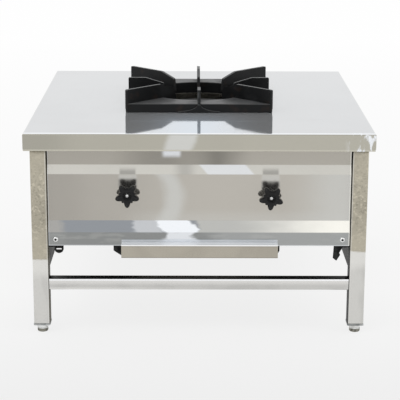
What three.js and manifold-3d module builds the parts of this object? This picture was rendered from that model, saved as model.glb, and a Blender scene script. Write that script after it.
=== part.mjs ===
// A low gas stock pot range: a folded stainless worktop on four square legs, one double-ring
// burner under a cast pot grate, two gas valves behind the front panel and a drip tray below.
// Millimetres, +Z up. The front faces -Y, and the origin is on the floor under the worktop's middle.

import * as THREE from 'three';
import { mergeVertices } from 'three/addons/utils/BufferGeometryUtils.js';
import Module from 'manifold-3d';

const wasm = await Module();
wasm.setup();

// ---------------------------------------------------------------------------------------------
// Driving dimensions
// ---------------------------------------------------------------------------------------------

const fit = 0.3;                  // gap left between two pieces that seat on each other
const past = 1;                   // how far a cut or a joined piece runs on past a face

// Worktop: one sheet with its four skirts folded down and hemmed inwards
const topWidth = 750;
const topDepth = 800;
const topHeight = 450;
const topThickness = 1.5;
const skirtHeight = 37.5;
const skirtBend = 3;
const skirtHem = 8;
const openingRadius = 128;
const openingLip = 8;

// Legs: square tube with a plate in the bottom end that takes the adjustable foot
const legSize = 35;
const legWall = 1.5;
const legCorner = 3;
const legInset = 13;
const legPlateThickness = 4;
const legPlateOverhang = 0.8;

// Adjustable feet
const footHeight = 17;
const footDiscRadius = 13;
const footDiscThickness = 5;
const footDiscChamfer = 1;
const footHexFlats = 22;
const footStudRadius = 5;
const footStudLength = 30;
const footThreadGap = 0.4;

// Stretchers between the two front and the two rear legs
const stretcherSize = 25;
const stretcherWall = 1.2;
const stretcherCorner = 1.8;
const stretcherBottom = 100;

// Angle rails under the worktop, and the cross angles that carry tray and manifold
const railSize = 30;
const railThickness = 3;
const crossSize = 25;
const crossThickness = 3;
const crossStep = 1.5;              // how far the cross angles sit above the panel's lower edge

// Front panel: five facets from the top edge down, each with its height and its outward step
const panelThickness = 1.2;
const panelTopGap = 8.5;
const panelRecess = 14;
const panelSideGap = 0.5;
const plainFacetHeight = 62.5;
const upperSlopeHeight = 20.5;
const mainFacetHeight = 102.5;
const lowerSlopeHeight = 26;
const bottomFacetHeight = 30;
const upperSlopeStep = 4;
const lowerSlopeStep = 4;
const stemHoleRadius = 7;

// Side and rear panels
const stretcherGap = 20;          // left open between the stretchers and the side and rear panels
const sideFlange = 25;
const rearPanelInset = 6;

// Brackets that hold the front panel's lower corners, and their pan-head screws
const bracketThickness = 2;
const bracketWidth = 28;
const bracketDepth = 24;
const bracketHeight = 30;
const bracketRise = 26.5;           // how far the brackets reach above the panel's lower edge
const tongueWidth = 20;
const tongueInset = 12.5;
const tongueDrop = 17.5;          // how far the left bracket's tongue hangs below the panel
const tongueRadius = 8;
const tongueChamfer = 2.7;
const slotWidth = 12;
const slotHeight = 3;
const slotDrop = 8;
const hookDrop = 34;              // how far the right bracket's hook hangs below the panel
const hookLean = 3;
const hookToe = 5;
const hookToeRise = 6;
const hookHeel = 13;
const hookNeck = 11;
const hookNeckRise = 18;
const panelScrewInset = 16;
const panelScrewRise = 14;
const screwShankRadius = 2;
const screwHeadRadius = 5.6;
const screwHeadHeight = 2.8;
const screwLength = 12;
const screwCrown = 0.55;          // flat part of a screw's domed head, as a share of its size
const screwSides = 12;

// Drip tray and the runners that it slides on
const trayCentreX = 1;
const trayWidth = 330;
const trayLength = 600;
const trayDrop = 21;              // how far the tray hangs below the panel's lower edge
const trayWallHeight = 13;
const traySheet = 1.2;
const handleWidth = 338;
const handleHeight = 29.5;
const handleDepth = 22;
const handleStandOff = 1;
const runnerGap = 1.5;
const runnerThickness = 1.5;
const runnerLedge = 12;
const runnerFoot = 3;
const runnerFlangeLeft = 19;
const runnerFlangeRight = 6;

// Gas valves and knobs; the right valve sits a little lower than the left one
const knobSpacing = 308;
const leftValveRise = 55;         // from the manifold's middle to the valve's
const rightValveRise = 50;
const knobStandOff = 28;
const knobThickness = 14;
const knobBevel = 2.5;
const knobLobes = 5;
const knobTipRadius = 26.5;
const knobWaistRadius = 14.5;
const knobSmallLobe = 4.6;
const tipSharpness = 1.15;
const smallLobeSharpness = 8;
const knobHubRadius = 9;
const knobHubLength = 7;
const knobCapDepth = 4;
const knobCapRadius = 7;
const knobScrewRadius = 3.4;
const knobScrewHeight = 3;
const rightKnobTurn = -5;
const stemRadius = 4;
const stemGap = 0.4;
const valveRadius = 13;
const valveLength = 45;
const valvePanelGap = 6;
const valveBoreDepth = 26;
const glandFlats = 18;
const glandLength = 10;
const spigotRadius = 9;
const spigotBore = 5;
const outletBore = 2;

// Gas manifold, supply pipe and their fittings
const pipeRadius = 13.5;
const pipeBore = 10.5;
const manifoldRise = 62;          // from the cross angles' underside to the manifold's middle
const manifoldOverhang = 51;      // how far the manifold runs on past the right valve
const bossRadius = 11;
const bossHeight = 22;
const plugFlats = 22;
const plugHeadLength = 10;
const plugSpigotLength = 12;
const elbowRadius = 17.5;
const elbowReach = 34;
const elbowSocket = 14;
const supplyInset = 58;           // from the leg's inner face to the supply pipe's middle
const inletRadius = 18;
const inletLength = 47;
const inletGrip = 15;             // how much of the socket the supply pipe fills
const saddleWidth = 20;
const saddleThickness = 3;
const saddleInset = 60;

// Gas nozzles, air shutters and mixing tubes
const nozzleFlats = 14;
const nozzleHexLength = 8;
const nozzleRadius = 6.5;
const nozzleShank = 10;
const nozzleStep = 1;
const nozzleTip = 10;
const nozzleTipRadius = 2.5;
const nozzleBore = 1;
const shutterThickness = 2;
const cupRadius = 24;
const cupWall = 3;
const cupLength = 24;
const windowCount = 3;
const windowRadius = 6;
const windowCircle = 14.5;
const mixerRadius = 16;
const mixerBore = 12.5;
const mixerDrop = 38;             // from the burner's underside to the mixing tubes' middle
const riserBend = 40;
const mixerEase = 0.4;            // how softly a mixing tube swings over, as a share of its run

// Burner: two ring troughs with drilled ring caps, standing on two flat bars
const burnerDrop = 60;            // from the worktop's upper face to the burner's underside
const burnerWall = 5;
const troughHeight = 32;
const capHeight = 10;
const capChamfer = 2.5;
const outerRingRadius = 105;
const outerRingHole = 72;
const innerRingRadius = 48;
const innerRingHole = 12;
const outerPortCount = 24;
const innerPortCount = 10;
const portRadius = 2.2;
const supportWidth = 24;
const supportThickness = 5;
const supportSpacing = 60;

// Pot grate: a square cast frame with eight upright fins
const grateWidth = 334;
const frameHeight = 20;
const frameSkin = 8;
const grateOpeningRadius = 118;
const rimDrop = 6;
const finCount = 8;
const finThickness = 7;
const finRise = 52;
const finInnerRadius = 78;
const finSlopeLength = 48;
const finSlopeDrop = 13;
const finUnderside = 8;
const finToe = 5;
const finCorner = 6;
const diagonalFinInset = 2;
const gussetHalfWidth = 48;
const gussetHeight = 15;
const gussetLip = 3;
const gussetReach = 4;

// Facets on round pieces
const roundSides = 20;
const ringSides = 32;
const smallSides = 12;
const portSides = 6;
const mixerSides = 10;
const mixerSteps = 20;
const knobPointsPerLobe = 8;

// ---------------------------------------------------------------------------------------------
// Planes that several pieces share, worked out from the sizes above
// ---------------------------------------------------------------------------------------------

const halfWidth = topWidth / 2;
const halfDepth = topDepth / 2;
const underTop = topHeight - topThickness;
const legTop = underTop - fit;
const legBottom = footHeight + fit + legPlateThickness + fit;
const legOuterX = halfWidth - legInset;
const legInnerX = legOuterX - legSize;
const legCentreX = legOuterX - legSize / 2;
const legOuterY = halfDepth - legInset;
const legInnerY = legOuterY - legSize;
const legCentreY = legOuterY - legSize / 2;

const panelTop = underTop - panelTopGap;
const upperSlopeTop = panelTop - plainFacetHeight;
const mainTop = upperSlopeTop - upperSlopeHeight;
const lowerSlopeTop = mainTop - mainFacetHeight;
const bottomFacetTop = lowerSlopeTop - lowerSlopeHeight;
const panelBottom = bottomFacetTop - bottomFacetHeight;
const panelUpperY = -legOuterY + panelRecess;
const panelMainY = panelUpperY - upperSlopeStep;
const panelLowerY = panelMainY - lowerSlopeStep;

const sidePanelBottom = stretcherBottom + stretcherSize + stretcherGap;
const bracketTop = panelBottom + bracketRise;
const panelScrewHeight = panelBottom + panelScrewRise;
const trayBottom = panelBottom - trayDrop;

const crossBottom = panelBottom + crossStep;
const crossFrontY = -legInnerY + panelThickness + 2 * fit;
const manifoldY = crossFrontY + crossSize / 2;
const manifoldHeight = crossBottom + manifoldRise;
const supplyX = -legInnerX + supplyInset;
const manifoldLeft = supplyX + elbowReach;
const manifoldRight = knobSpacing / 2 + manifoldOverhang;

const knobMiddleY = panelMainY - knobStandOff;
const knobFrontY = knobMiddleY - knobThickness / 2;
const valveFrontY = panelMainY + panelThickness + valvePanelGap;
const valveBackY = valveFrontY + valveLength;
const nozzleHexBackY = valveBackY + fit + nozzleHexLength;
const shutterFrontY = nozzleHexBackY + fit;
const cupFrontY = shutterFrontY + shutterThickness + fit;
const valves = [
  { side: 'left', x: -knobSpacing / 2, height: manifoldHeight + leftValveRise, turn: 0 },
  { side: 'right', x: knobSpacing / 2, height: manifoldHeight + rightValveRise, turn: rightKnobTurn },
];

const burnerBottom = topHeight - burnerDrop;
const mixerLevel = burnerBottom - mixerDrop;
const troughBottom = burnerBottom + fit;
const troughTop = troughBottom + troughHeight;
const outerChannelX = (outerRingRadius + outerRingHole) / 2;
const innerChannelX = -(innerRingRadius + innerRingHole) / 2;

// ---------------------------------------------------------------------------------------------
// Finishes
// ---------------------------------------------------------------------------------------------

function finish(color, roughness, metalness) {
  return new THREE.MeshStandardMaterial({ color, roughness, metalness });
}

const worktopSteel = () => finish(0xd9dadb, 0.16, 0.9);
const panelSteel = () => finish(0xc0c2bc, 0.14, 0.9);
const legSteel = () => finish(0xcfccc4, 0.2, 0.9);
const frameSteel = () => finish(0x8f9190, 0.45, 0.85);
const traySteel = () => finish(0xc9c5bb, 0.25, 0.9);
const blackSteel = () => finish(0x1f2021, 0.5, 0.6);
const castIron = () => finish(0x242627, 0.62, 0.4);
const brass = () => finish(0xb08d4f, 0.3, 0.9);
const blackPlastic = () => finish(0x1b1b1d, 0.4, 0);
const brightSteel = () => finish(0xd7d8d6, 0.12, 1);
const pipeSteel = () => finish(0x6f7173, 0.5, 0.8);

// ---------------------------------------------------------------------------------------------
// Solids: three.js geometries, cut and joined where a piece needs it
// ---------------------------------------------------------------------------------------------

const weldDistance = 1e-4;
const quarterTurn = Math.PI / 2;
const fullTurn = 2 * Math.PI;
const quarterHandle = 0.5523;     // handle of the Bezier curve that follows a quarter circle

/** Six times the signed volume of one triangle with the origin. */
function cornerVolume(at, a, b, c) {
  const first = new THREE.Vector3().fromBufferAttribute(at, a);
  const second = new THREE.Vector3().fromBufferAttribute(at, b);
  const third = new THREE.Vector3().fromBufferAttribute(at, c);
  return first.dot(second.cross(third));
}

/** A closed solid from a geometry: corners merged, slivers dropped, faces turned outwards. */
function toSolid(geometry) {
  const bare = new THREE.BufferGeometry();
  bare.setAttribute('position', geometry.getAttribute('position'));
  bare.setIndex(geometry.index);
  const merged = mergeVertices(bare, weldDistance);
  const at = merged.getAttribute('position');
  const corners = [];
  let volume = 0;
  for (let i = 0; i < merged.index.count; i += 3) {
    const [a, b, c] = [0, 1, 2].map((k) => merged.index.getX(i + k));
    if (a === b || b === c || a === c) continue;
    corners.push(a, b, c);
    volume += cornerVolume(at, a, b, c);
  }
  if (volume < 0) corners.reverse();
  return new wasm.Manifold(new wasm.Mesh({
    numProp: 3,
    vertProperties: Float32Array.from(at.array),
    triVerts: Uint32Array.from(corners),
  }));
}

function toGeometry(solid) {
  const { vertProperties, triVerts } = solid.getMesh();
  const geometry = new THREE.BufferGeometry();
  geometry.setAttribute('position', new THREE.BufferAttribute(vertProperties, 3));
  geometry.setIndex(new THREE.BufferAttribute(triVerts, 1));
  geometry.computeVertexNormals();
  return geometry;
}

function join(...geometries) {
  return toGeometry(geometries.map(toSolid).reduce((whole, next) => whole.add(next)));
}

function cut(geometry, ...tools) {
  return toGeometry(tools.map(toSolid).reduce((rest, tool) => rest.subtract(tool), toSolid(geometry)));
}

/** Puts the two ends of a geometry that is centred on zero, along one axis, on exact places. */
function stretch(geometry, axis, [low, high]) {
  const at = geometry.getAttribute('position');
  for (let i = 0; i < at.count; i += 1) {
    at.setComponent(i, axis, at.getComponent(i, axis) > 0 ? high : low);
  }
  return geometry;
}

/** A box between two corners. */
function block(spanX, spanY, spanZ) {
  const geometry = new THREE.BoxGeometry(1, 1, 1);
  return [spanX, spanY, spanZ].reduce((box, span, axis) => stretch(box, axis, span), geometry);
}

/** Turns a geometry made along +Z so that it runs along the given axis. */
function alongAxis(geometry, axis) {
  const turns = {
    x: new THREE.Matrix4().set(0, 0, 1, 0, 1, 0, 0, 0, 0, 1, 0, 0, 0, 0, 0, 1),
    y: new THREE.Matrix4().set(1, 0, 0, 0, 0, 0, 1, 0, 0, -1, 0, 0, 0, 0, 0, 1),
    z: new THREE.Matrix4(),
  };
  return geometry.applyMatrix4(turns[axis]);
}

/** A cylinder or cone along an axis, from one place to another, centred on the other two axes. */
function rod(axis, radius, span, centre = [0, 0], sides = roundSides, endRadius = radius) {
  const geometry = new THREE.CylinderGeometry(endRadius, radius, 1, sides);
  geometry.rotateX(quarterTurn);
  stretch(geometry, 2, span);
  alongAxis(geometry, axis);
  const [u, v] = centre;
  const places = { x: [0, u, v], y: [u, 0, v], z: [u, v, 0] };
  return geometry.translate(...places[axis]);
}

/** A hexagonal rod, given its width across the flats. */
function hexRod(axis, flats, span, centre) {
  return rod(axis, flats / Math.sqrt(3), span, centre, 6);
}

/** A flat outline in (x, y) pushed up along Z. Holes are outlines too. */
function raise(outline, span, holes = []) {
  const shape = outline instanceof THREE.Shape ? outline : outlineShape(outline);
  shape.holes.push(...holes);
  const geometry = new THREE.ExtrudeGeometry(shape, { depth: 1, bevelEnabled: false, curveSegments: 2 });
  geometry.translate(0, 0, -0.5);
  return stretch(geometry, 2, span);
}

function outlineShape(points) {
  return new THREE.Shape(points.map(([u, v]) => new THREE.Vector2(u, v)));
}

/** A section in (y, z) pushed along X. */
function pushX(points, span) {
  return alongAxis(raise(points, span), 'x');
}

/** A section in (x, z) pushed along Y. */
function pushY(points, [from, to]) {
  const flipped = points.map(([u, v]) => [u, -v]);
  return alongAxis(raise(flipped, [from, to]), 'y');
}

/** A profile of (radius, height) points turned about the Z axis. */
function turned(points, sides = roundSides) {
  const profile = points.map(([radius, height]) => new THREE.Vector2(radius, height));
  return new THREE.LatheGeometry(profile, sides).rotateX(quarterTurn);
}

function closedLoop(points) {
  return [...points, points[0]];
}

function roundedSquare(size, corner) {
  const half = size / 2;
  const reach = half - corner;
  const shape = new THREE.Shape();
  shape.moveTo(half, -reach);
  shape.lineTo(half, reach);
  shape.absarc(reach, reach, corner, 0, quarterTurn);
  shape.absarc(-reach, reach, corner, quarterTurn, 2 * quarterTurn);
  shape.absarc(-reach, -reach, corner, 2 * quarterTurn, 3 * quarterTurn);
  shape.absarc(reach, -reach, corner, 3 * quarterTurn, 4 * quarterTurn);
  return shape;
}

/** A square tube with rounded corners, open at both ends, standing along Z. */
function squareTube(size, wall, corner, span) {
  const bore = roundedSquare(size - 2 * wall, Math.max(corner - wall, wall / 2));
  return raise(roundedSquare(size, corner), span, [bore]);
}

/** A solid whose level sections are rectangles, given from the bottom up. */
function stackedRectangles(levels) {
  const positions = [];
  const corners = [[-1, -1], [1, -1], [1, 1], [-1, 1]];
  levels.forEach(({ halfX, halfY, z }) => {
    corners.forEach(([sx, sy]) => positions.push(sx * halfX, sy * halfY, z));
  });
  const index = [0, 2, 1, 0, 3, 2];
  for (let level = 0; level < levels.length - 1; level += 1) {
    const low = level * 4;
    for (let side = 0; side < 4; side += 1) {
      const next = (side + 1) % 4;
      index.push(low + side, low + next, low + 4 + next, low + side, low + 4 + next, low + 4 + side);
    }
  }
  const last = (levels.length - 1) * 4;
  index.push(last, last + 1, last + 2, last, last + 2, last + 3);
  const geometry = new THREE.BufferGeometry();
  geometry.setAttribute('position', new THREE.Float32BufferAttribute(positions, 3));
  geometry.setIndex(index);
  return geometry;
}

/** A round bar swept along a curve. */
function sweep(path, radius) {
  const circle = new THREE.Shape();
  circle.absarc(0, 0, radius, 0, fullTurn);
  const ring = circle.getSpacedPoints(mixerSides).slice(0, mixerSides);
  const options = { steps: mixerSteps, extrudePath: path, bevelEnabled: false };
  return new THREE.ExtrudeGeometry(new THREE.Shape(ring), options);
}

// ---------------------------------------------------------------------------------------------
// The assembly
// ---------------------------------------------------------------------------------------------

const range = new THREE.Group();

function place(name, geometry, material, [x, y, z] = [0, 0, 0]) {
  const mesh = new THREE.Mesh(geometry, material);
  mesh.name = name;
  mesh.position.set(x, y, z);
  range.add(mesh);
  return mesh;
}

const corners = [
  { name: 'front_left', sx: -1, sy: -1 },
  { name: 'front_right', sx: 1, sy: -1 },
  { name: 'rear_left', sx: -1, sy: 1 },
  { name: 'rear_right', sx: 1, sy: 1 },
];

// ---- Worktop ----

function worktopBlank(inset, bottom, top, bend) {
  const halfX = halfWidth - inset;
  const halfY = halfDepth - inset;
  const bendSteps = 3;
  const levels = [{ halfX, halfY, z: bottom }];
  for (let step = 0; step <= bendSteps; step += 1) {
    const angle = (step / bendSteps) * quarterTurn;
    const pull = bend * (1 - Math.cos(angle));
    levels.push({ halfX: halfX - pull, halfY: halfY - pull, z: top - bend + bend * Math.sin(angle) });
  }
  return stackedRectangles(levels);
}

function topSheet() {
  const skirtBottom = topHeight - skirtHeight;
  const outside = worktopBlank(0, skirtBottom, topHeight, skirtBend);
  const hemTop = skirtBottom + topThickness;
  const inside = worktopBlank(topThickness, hemTop, underTop, skirtBend - topThickness);
  const hemOpening = worktopBlank(skirtHem, skirtBottom - skirtHem, hemTop + skirtHem, skirtBend);
  const hole = rod('z', openingRadius, [underTop - openingLip, topHeight + openingLip], [0, 0], ringSides);
  const lipOutside = openingRadius + topThickness;
  const lipTop = (underTop + topHeight) / 2;
  const lip = turned(closedLoop([
    [openingRadius, underTop - openingLip],
    [lipOutside, underTop - openingLip],
    [lipOutside, lipTop],
    [openingRadius, lipTop],
  ]), ringSides);
  return join(cut(outside, inside, hemOpening, hole), lip);
}

place('top_sheet', topSheet(), worktopSteel());

// ---- Legs, their end plates and feet ----

function legPlate() {
  const plate = raise(roundedSquare(legSize + 2 * legPlateOverhang, legCorner), [0, legPlateThickness]);
  const through = [-legPlateThickness, 2 * legPlateThickness];
  return cut(plate, rod('z', footStudRadius + footThreadGap, through, [0, 0], smallSides));
}

function foot() {
  const disc = turned([
    [0, 0],
    [footDiscRadius - footDiscChamfer, 0],
    [footDiscRadius, footDiscChamfer],
    [footDiscRadius, footDiscThickness],
    [0, footDiscThickness],
  ]);
  const nut = hexRod('z', footHexFlats, [footDiscThickness / 2, footHeight], [0, 0]);
  const stud = rod('z', footStudRadius, [footHeight / 2, footHeight + footStudLength], [0, 0], smallSides);
  return join(disc, nut, stud);
}

for (const { name, sx, sy } of corners) {
  const at = (z) => [sx * legCentreX, sy * legCentreY, z];
  place(`leg_${name}`, squareTube(legSize, legWall, legCorner, [legBottom, legTop]), legSteel(), at(0));
  place(`leg_plate_${name}`, legPlate(), frameSteel(), at(footHeight + fit));
  place(`foot_${name}`, foot(), brightSteel(), at(0));
}

// ---- Stretchers, rails and cross angles ----

function stretcher() {
  const tube = squareTube(stretcherSize, stretcherWall, stretcherCorner, betweenLegsX);
  return alongAxis(tube, 'x');
}

/** The L section of an angle bar: legs along +u and -v from its outer corner at (0, 0). */
function angleSection(size, thickness, turnU = 1, turnV = -1) {
  return [
    [0, 0],
    [size * turnU, 0],
    [size * turnU, thickness * turnV],
    [thickness * turnU, thickness * turnV],
    [thickness * turnU, size * turnV],
    [0, size * turnV],
  ];
}

function shifted(points, du, dv) {
  return points.map(([u, v]) => [u + du, v + dv]);
}

const betweenLegsX = [-legInnerX + fit, legInnerX - fit];
const sideRailEnd = legInnerY - panelThickness - 2 * fit;
const betweenFlangesY = [-sideRailEnd, sideRailEnd];
const railFrontY = panelUpperY + panelThickness + fit;
const rearPanelY = legOuterY - rearPanelInset;
const railRearY = rearPanelY - panelThickness - fit;
const sideWebX = legInnerX + panelThickness;
const railSideX = sideWebX + fit;

// The stretchers are flush with the legs' outer faces.
for (const [name, sy] of [['front', -1], ['rear', 1]]) {
  const at = [0, sy * (legOuterY - stretcherSize / 2), stretcherBottom + stretcherSize / 2];
  place(`stretcher_${name}`, stretcher(), legSteel(), at);
}

const frontRailSection = shifted(angleSection(railSize, railThickness), railFrontY, legTop);
const rearRailSection = shifted(angleSection(railSize, railThickness, -1), railRearY, legTop);
place('rail_front', pushX(frontRailSection, betweenLegsX), frameSteel());
place('rail_rear', pushX(rearRailSection, betweenLegsX), frameSteel());
for (const [name, sx] of [['left', -1], ['right', 1]]) {
  const section = shifted(angleSection(railSize, railThickness, sx), sx * railSideX, legTop);
  place(`rail_${name}`, pushY(section, betweenFlangesY), frameSteel());
}

const crossFrontSection = shifted(angleSection(crossSize, crossThickness, 1, 1), crossFrontY, crossBottom);
const crossRearSection = shifted(angleSection(crossSize, crossThickness, -1, 1), -crossFrontY, crossBottom);
place('cross_angle_front', pushX(crossFrontSection, betweenLegsX), frameSteel());
place('cross_angle_rear', pushX(crossRearSection, betweenLegsX), frameSteel());

// ---- Front panel, with its brackets and screws ----

const panelScrewX = legInnerX - panelScrewInset;

function frontPanel() {
  const face = [
    [panelUpperY, panelTop],
    [panelUpperY, upperSlopeTop],
    [panelMainY, mainTop],
    [panelMainY, lowerSlopeTop],
    [panelLowerY, bottomFacetTop],
    [panelLowerY, panelBottom],
  ];
  const back = shifted(face, panelThickness, 0).reverse();
  const span = [-legInnerX + panelSideGap, legInnerX - panelSideGap];
  const through = [panelLowerY - panelRecess, panelUpperY + panelRecess];
  const stemHoles = valves.map(({ x, height }) => rod('y', stemHoleRadius, through, [x, height]));
  const screwHoles = [-1, 1].map((sx) => rod('y', screwShankRadius + fit, through,
    [sx * panelScrewX, panelScrewHeight], screwSides));
  return cut(pushX([...face, ...back], span), ...stemHoles, ...screwHoles);
}

place('front_panel', frontPanel(), panelSteel());

/** Outline of the left bracket's tongue, with round corners. */
function roundTongue(outer, inner) {
  const bottom = panelBottom - tongueDrop;
  return [
    [outer, bracketTop],
    [inner, bracketTop],
    [inner, bottom + tongueRadius],
    [inner + tongueChamfer, bottom + tongueChamfer],
    [inner + tongueRadius, bottom],
    [outer - tongueRadius, bottom],
    [outer - tongueChamfer, bottom + tongueChamfer],
    [outer, bottom + tongueRadius],
  ];
}

/** Outline of the right bracket's tongue, a narrow neck that ends in a slanted toe. */
function hookTongue(outer, inner) {
  const bottom = panelBottom - hookDrop;
  return [
    [outer, bracketTop],
    [inner, bracketTop],
    [inner - hookLean, bottom + hookToeRise],
    [inner + hookToe, bottom],
    [inner + hookHeel, bottom + hookHeel],
    [inner + hookNeck, bottom + hookNeckRise],
    [outer, panelBottom],
  ];
}

/** A flat slot through a tongue, just below the panel's edge. */
function tongueSlot(x, spanY) {
  const z = panelBottom - slotDrop;
  const reach = (slotWidth - slotHeight) / 2;
  return join(
    block([x - reach, x + reach], spanY, [z - slotHeight / 2, z + slotHeight / 2]),
    rod('y', slotHeight / 2, spanY, [x - reach, z], smallSides),
    rod('y', slotHeight / 2, spanY, [x + reach, z], smallSides),
  );
}

/** A bracket on the leg's inner face, with a tongue that hangs below the panel's edge. */
function panelBracket(sx, outline, slotted) {
  const frontY = panelLowerY + panelThickness + fit;
  const outerX = legInnerX - fit;
  const innerX = outerX - bracketWidth;
  const plateBottom = bracketTop - bracketHeight;
  const tongueOuter = outerX - tongueInset;
  const mirrored = (points) => points.map(([u, v]) => [sx * u, v]);
  const tongue = mirrored(outline(tongueOuter, tongueOuter - tongueWidth));
  const plate = mirrored([
    [outerX, bracketTop], [innerX, bracketTop], [innerX, plateBottom], [outerX, plateBottom],
  ]);
  const thickness = [frontY, frontY + bracketThickness];
  const tabX = [sx * outerX, sx * (outerX - bracketThickness)].sort((a, b) => a - b);
  const tab = block(tabX, [frontY, frontY + bracketDepth], [plateBottom, bracketTop]);
  const through = [frontY - bracketDepth, frontY + bracketDepth];
  const hole = rod('y', screwShankRadius + fit, through, [sx * panelScrewX, panelScrewHeight], screwSides);
  const slots = slotted ? [tongueSlot(sx * (tongueOuter - tongueWidth / 2), through)] : [];
  return cut(join(pushY(plate, thickness), pushY(tongue, thickness), tab), hole, ...slots);
}

function panScrew(headRadius, headHeight, shankRadius, length) {
  return turned([
    [0, -headHeight],
    [headRadius * screwCrown, -headHeight],
    [headRadius, -headHeight * screwCrown],
    [headRadius, 0],
    [shankRadius, 0],
    [shankRadius, length],
    [0, length],
  ], screwSides).rotateX(-quarterTurn);
}

for (const [name, sx, outline, slotted] of [
  ['left', -1, roundTongue, true],
  ['right', 1, hookTongue, false],
]) {
  place(`panel_bracket_${name}`, panelBracket(sx, outline, slotted), blackSteel());
  const screw = panScrew(screwHeadRadius, screwHeadHeight, screwShankRadius, screwLength);
  place(`panel_screw_${name}`, screw, brightSteel(), [sx * panelScrewX, panelLowerY - fit, panelScrewHeight]);
}

// ---- Side and rear panels ----

/** A side panel: one sheet with a flange turned outwards against each of the two legs. */
function sidePanel(sx) {
  const outer = legInnerX + sideFlange;
  const end = legInnerY - fit;
  const inside = end - panelThickness;
  const section = [
    [legInnerX, -end], [outer, -end], [outer, -inside], [sideWebX, -inside],
    [sideWebX, inside], [outer, inside], [outer, end], [legInnerX, end],
  ];
  return raise(section.map(([u, v]) => [sx * u, v]), [sidePanelBottom, panelTop]);
}

place('side_panel_left', sidePanel(-1), panelSteel());
place('side_panel_right', sidePanel(1), panelSteel());

function rearPanel() {
  const sheet = block([-legInnerX + panelSideGap, legInnerX - panelSideGap],
    [rearPanelY - panelThickness, rearPanelY], [sidePanelBottom, panelTop]);
  const through = [rearPanelY - legSize, rearPanelY + legSize];
  return cut(sheet, rod('y', inletRadius + fit, through, [supplyX, manifoldHeight]));
}

place('rear_panel', rearPanel(), panelSteel());

// ---- Drip tray and runners ----

const trayFrontY = panelLowerY - handleStandOff - handleDepth;
const trayBackY = trayFrontY + trayLength;
const trayLeft = trayCentreX - trayWidth / 2;
const trayRight = trayCentreX + trayWidth / 2;

function dripTray() {
  const sheet = traySheet;
  const floorTop = trayBottom + sheet;
  const wallTop = floorTop + trayWallHeight;
  const handleLeft = trayCentreX - handleWidth / 2;
  const handleRight = trayCentreX + handleWidth / 2;
  const handleTop = trayBottom + handleHeight;
  const handleBackY = trayFrontY + handleDepth;
  const pan = cut(
    block([trayLeft, trayRight], [trayFrontY + sheet / 2, trayBackY], [trayBottom, wallTop]),
    block([trayLeft + sheet, trayRight - sheet], [trayFrontY, trayBackY - sheet], [floorTop, handleTop]),
  );
  const handle = cut(
    block([handleLeft, handleRight], [trayFrontY, handleBackY], [trayBottom, handleTop]),
    block([handleLeft + sheet, handleRight - sheet], [trayFrontY + sheet, handleBackY + sheet],
      [floorTop, handleTop - sheet]),
  );
  return join(pan, handle);
}

/** A runner hung under the cross angles: outward flange, web, inward ledge and a front tab. */
function trayRunner(sx, flange) {
  const innerWeb = (sx < 0 ? -trayLeft : trayRight) + runnerGap;
  const outerWeb = innerWeb + runnerThickness;
  const top = crossBottom - fit;
  const ledgeTop = trayBottom - fit;
  const ledgeBottom = ledgeTop - runnerThickness;
  const bottom = ledgeBottom - runnerFoot;
  const mirrored = (points) => points.map(([u, v]) => [sx * u, v]);
  const section = mirrored([
    [outerWeb + flange, top],
    [outerWeb + flange, top - runnerThickness],
    [outerWeb, top - runnerThickness],
    [outerWeb, bottom],
    [innerWeb, bottom],
    [innerWeb, ledgeBottom],
    [innerWeb - runnerLedge, ledgeBottom],
    [innerWeb - runnerLedge, ledgeTop],
    [innerWeb, ledgeTop],
    [innerWeb, top],
  ]);
  const tab = mirrored([
    [outerWeb + flange, top],
    [outerWeb + flange, (top + bottom) / 2],
    [innerWeb, bottom],
    [innerWeb, top],
  ]);
  const frontY = panelLowerY + panelThickness + bracketThickness + 2 * fit;
  return join(
    pushY(section, [frontY, -crossFrontY]),
    pushY(tab, [frontY, frontY + runnerThickness]),
  );
}

place('drip_tray', dripTray(), traySteel());
place('tray_runner_left', trayRunner(-1, runnerFlangeLeft), blackSteel());
place('tray_runner_right', trayRunner(1, runnerFlangeRight), blackSteel());

// ---- Burner: supports, rings, caps and mixing tubes ----

for (const [name, sy] of [['front', -1], ['rear', 1]]) {
  const middle = (sy * supportSpacing) / 2;
  const bar = block(betweenLegsX, [middle - supportWidth / 2, middle + supportWidth / 2],
    [burnerBottom - supportThickness, burnerBottom]);
  place(`burner_support_${name}`, bar, frameSteel());
}

function ringTrough(outer, inner, inletX) {
  const channelOuter = outer - burnerWall;
  const channelInner = inner + burnerWall;
  const floor = troughBottom + burnerWall;
  const trough = turned(closedLoop([
    [inner, troughBottom],
    [outer, troughBottom],
    [outer, troughTop],
    [channelOuter, troughTop],
    [channelOuter, floor],
    [channelInner, floor],
    [channelInner, troughTop],
    [inner, troughTop],
  ]), ringSides);
  const inletSpan = [troughBottom - burnerWall, floor + burnerWall];
  return cut(trough, rod('z', mixerBore, inletSpan, [inletX, 0], smallSides));
}

function ringCap(outer, inner, count) {
  const bottom = troughTop + fit;
  const top = bottom + capHeight;
  const cap = turned(closedLoop([
    [inner, bottom],
    [outer, bottom],
    [outer, top - capChamfer],
    [outer - capChamfer, top],
    [inner + capChamfer, top],
    [inner, top - capChamfer],
  ]), ringSides);
  const circle = (outer + inner) / 2;
  const ports = [];
  for (let port = 0; port < count; port += 1) {
    const angle = (port / count) * fullTurn;
    const centre = [circle * Math.cos(angle), circle * Math.sin(angle)];
    ports.push(rod('z', portRadius, [bottom - capHeight, top + capHeight], centre, portSides));
  }
  return cut(cap, ...ports);
}

place('burner_ring_outer', ringTrough(outerRingRadius, outerRingHole, outerChannelX), castIron());
place('burner_cap_outer', ringCap(outerRingRadius, outerRingHole, outerPortCount), castIron());
place('burner_ring_inner', ringTrough(innerRingRadius, innerRingHole, innerChannelX), castIron());
place('burner_cap_inner', ringCap(innerRingRadius, innerRingHole, innerPortCount), castIron());

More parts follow.
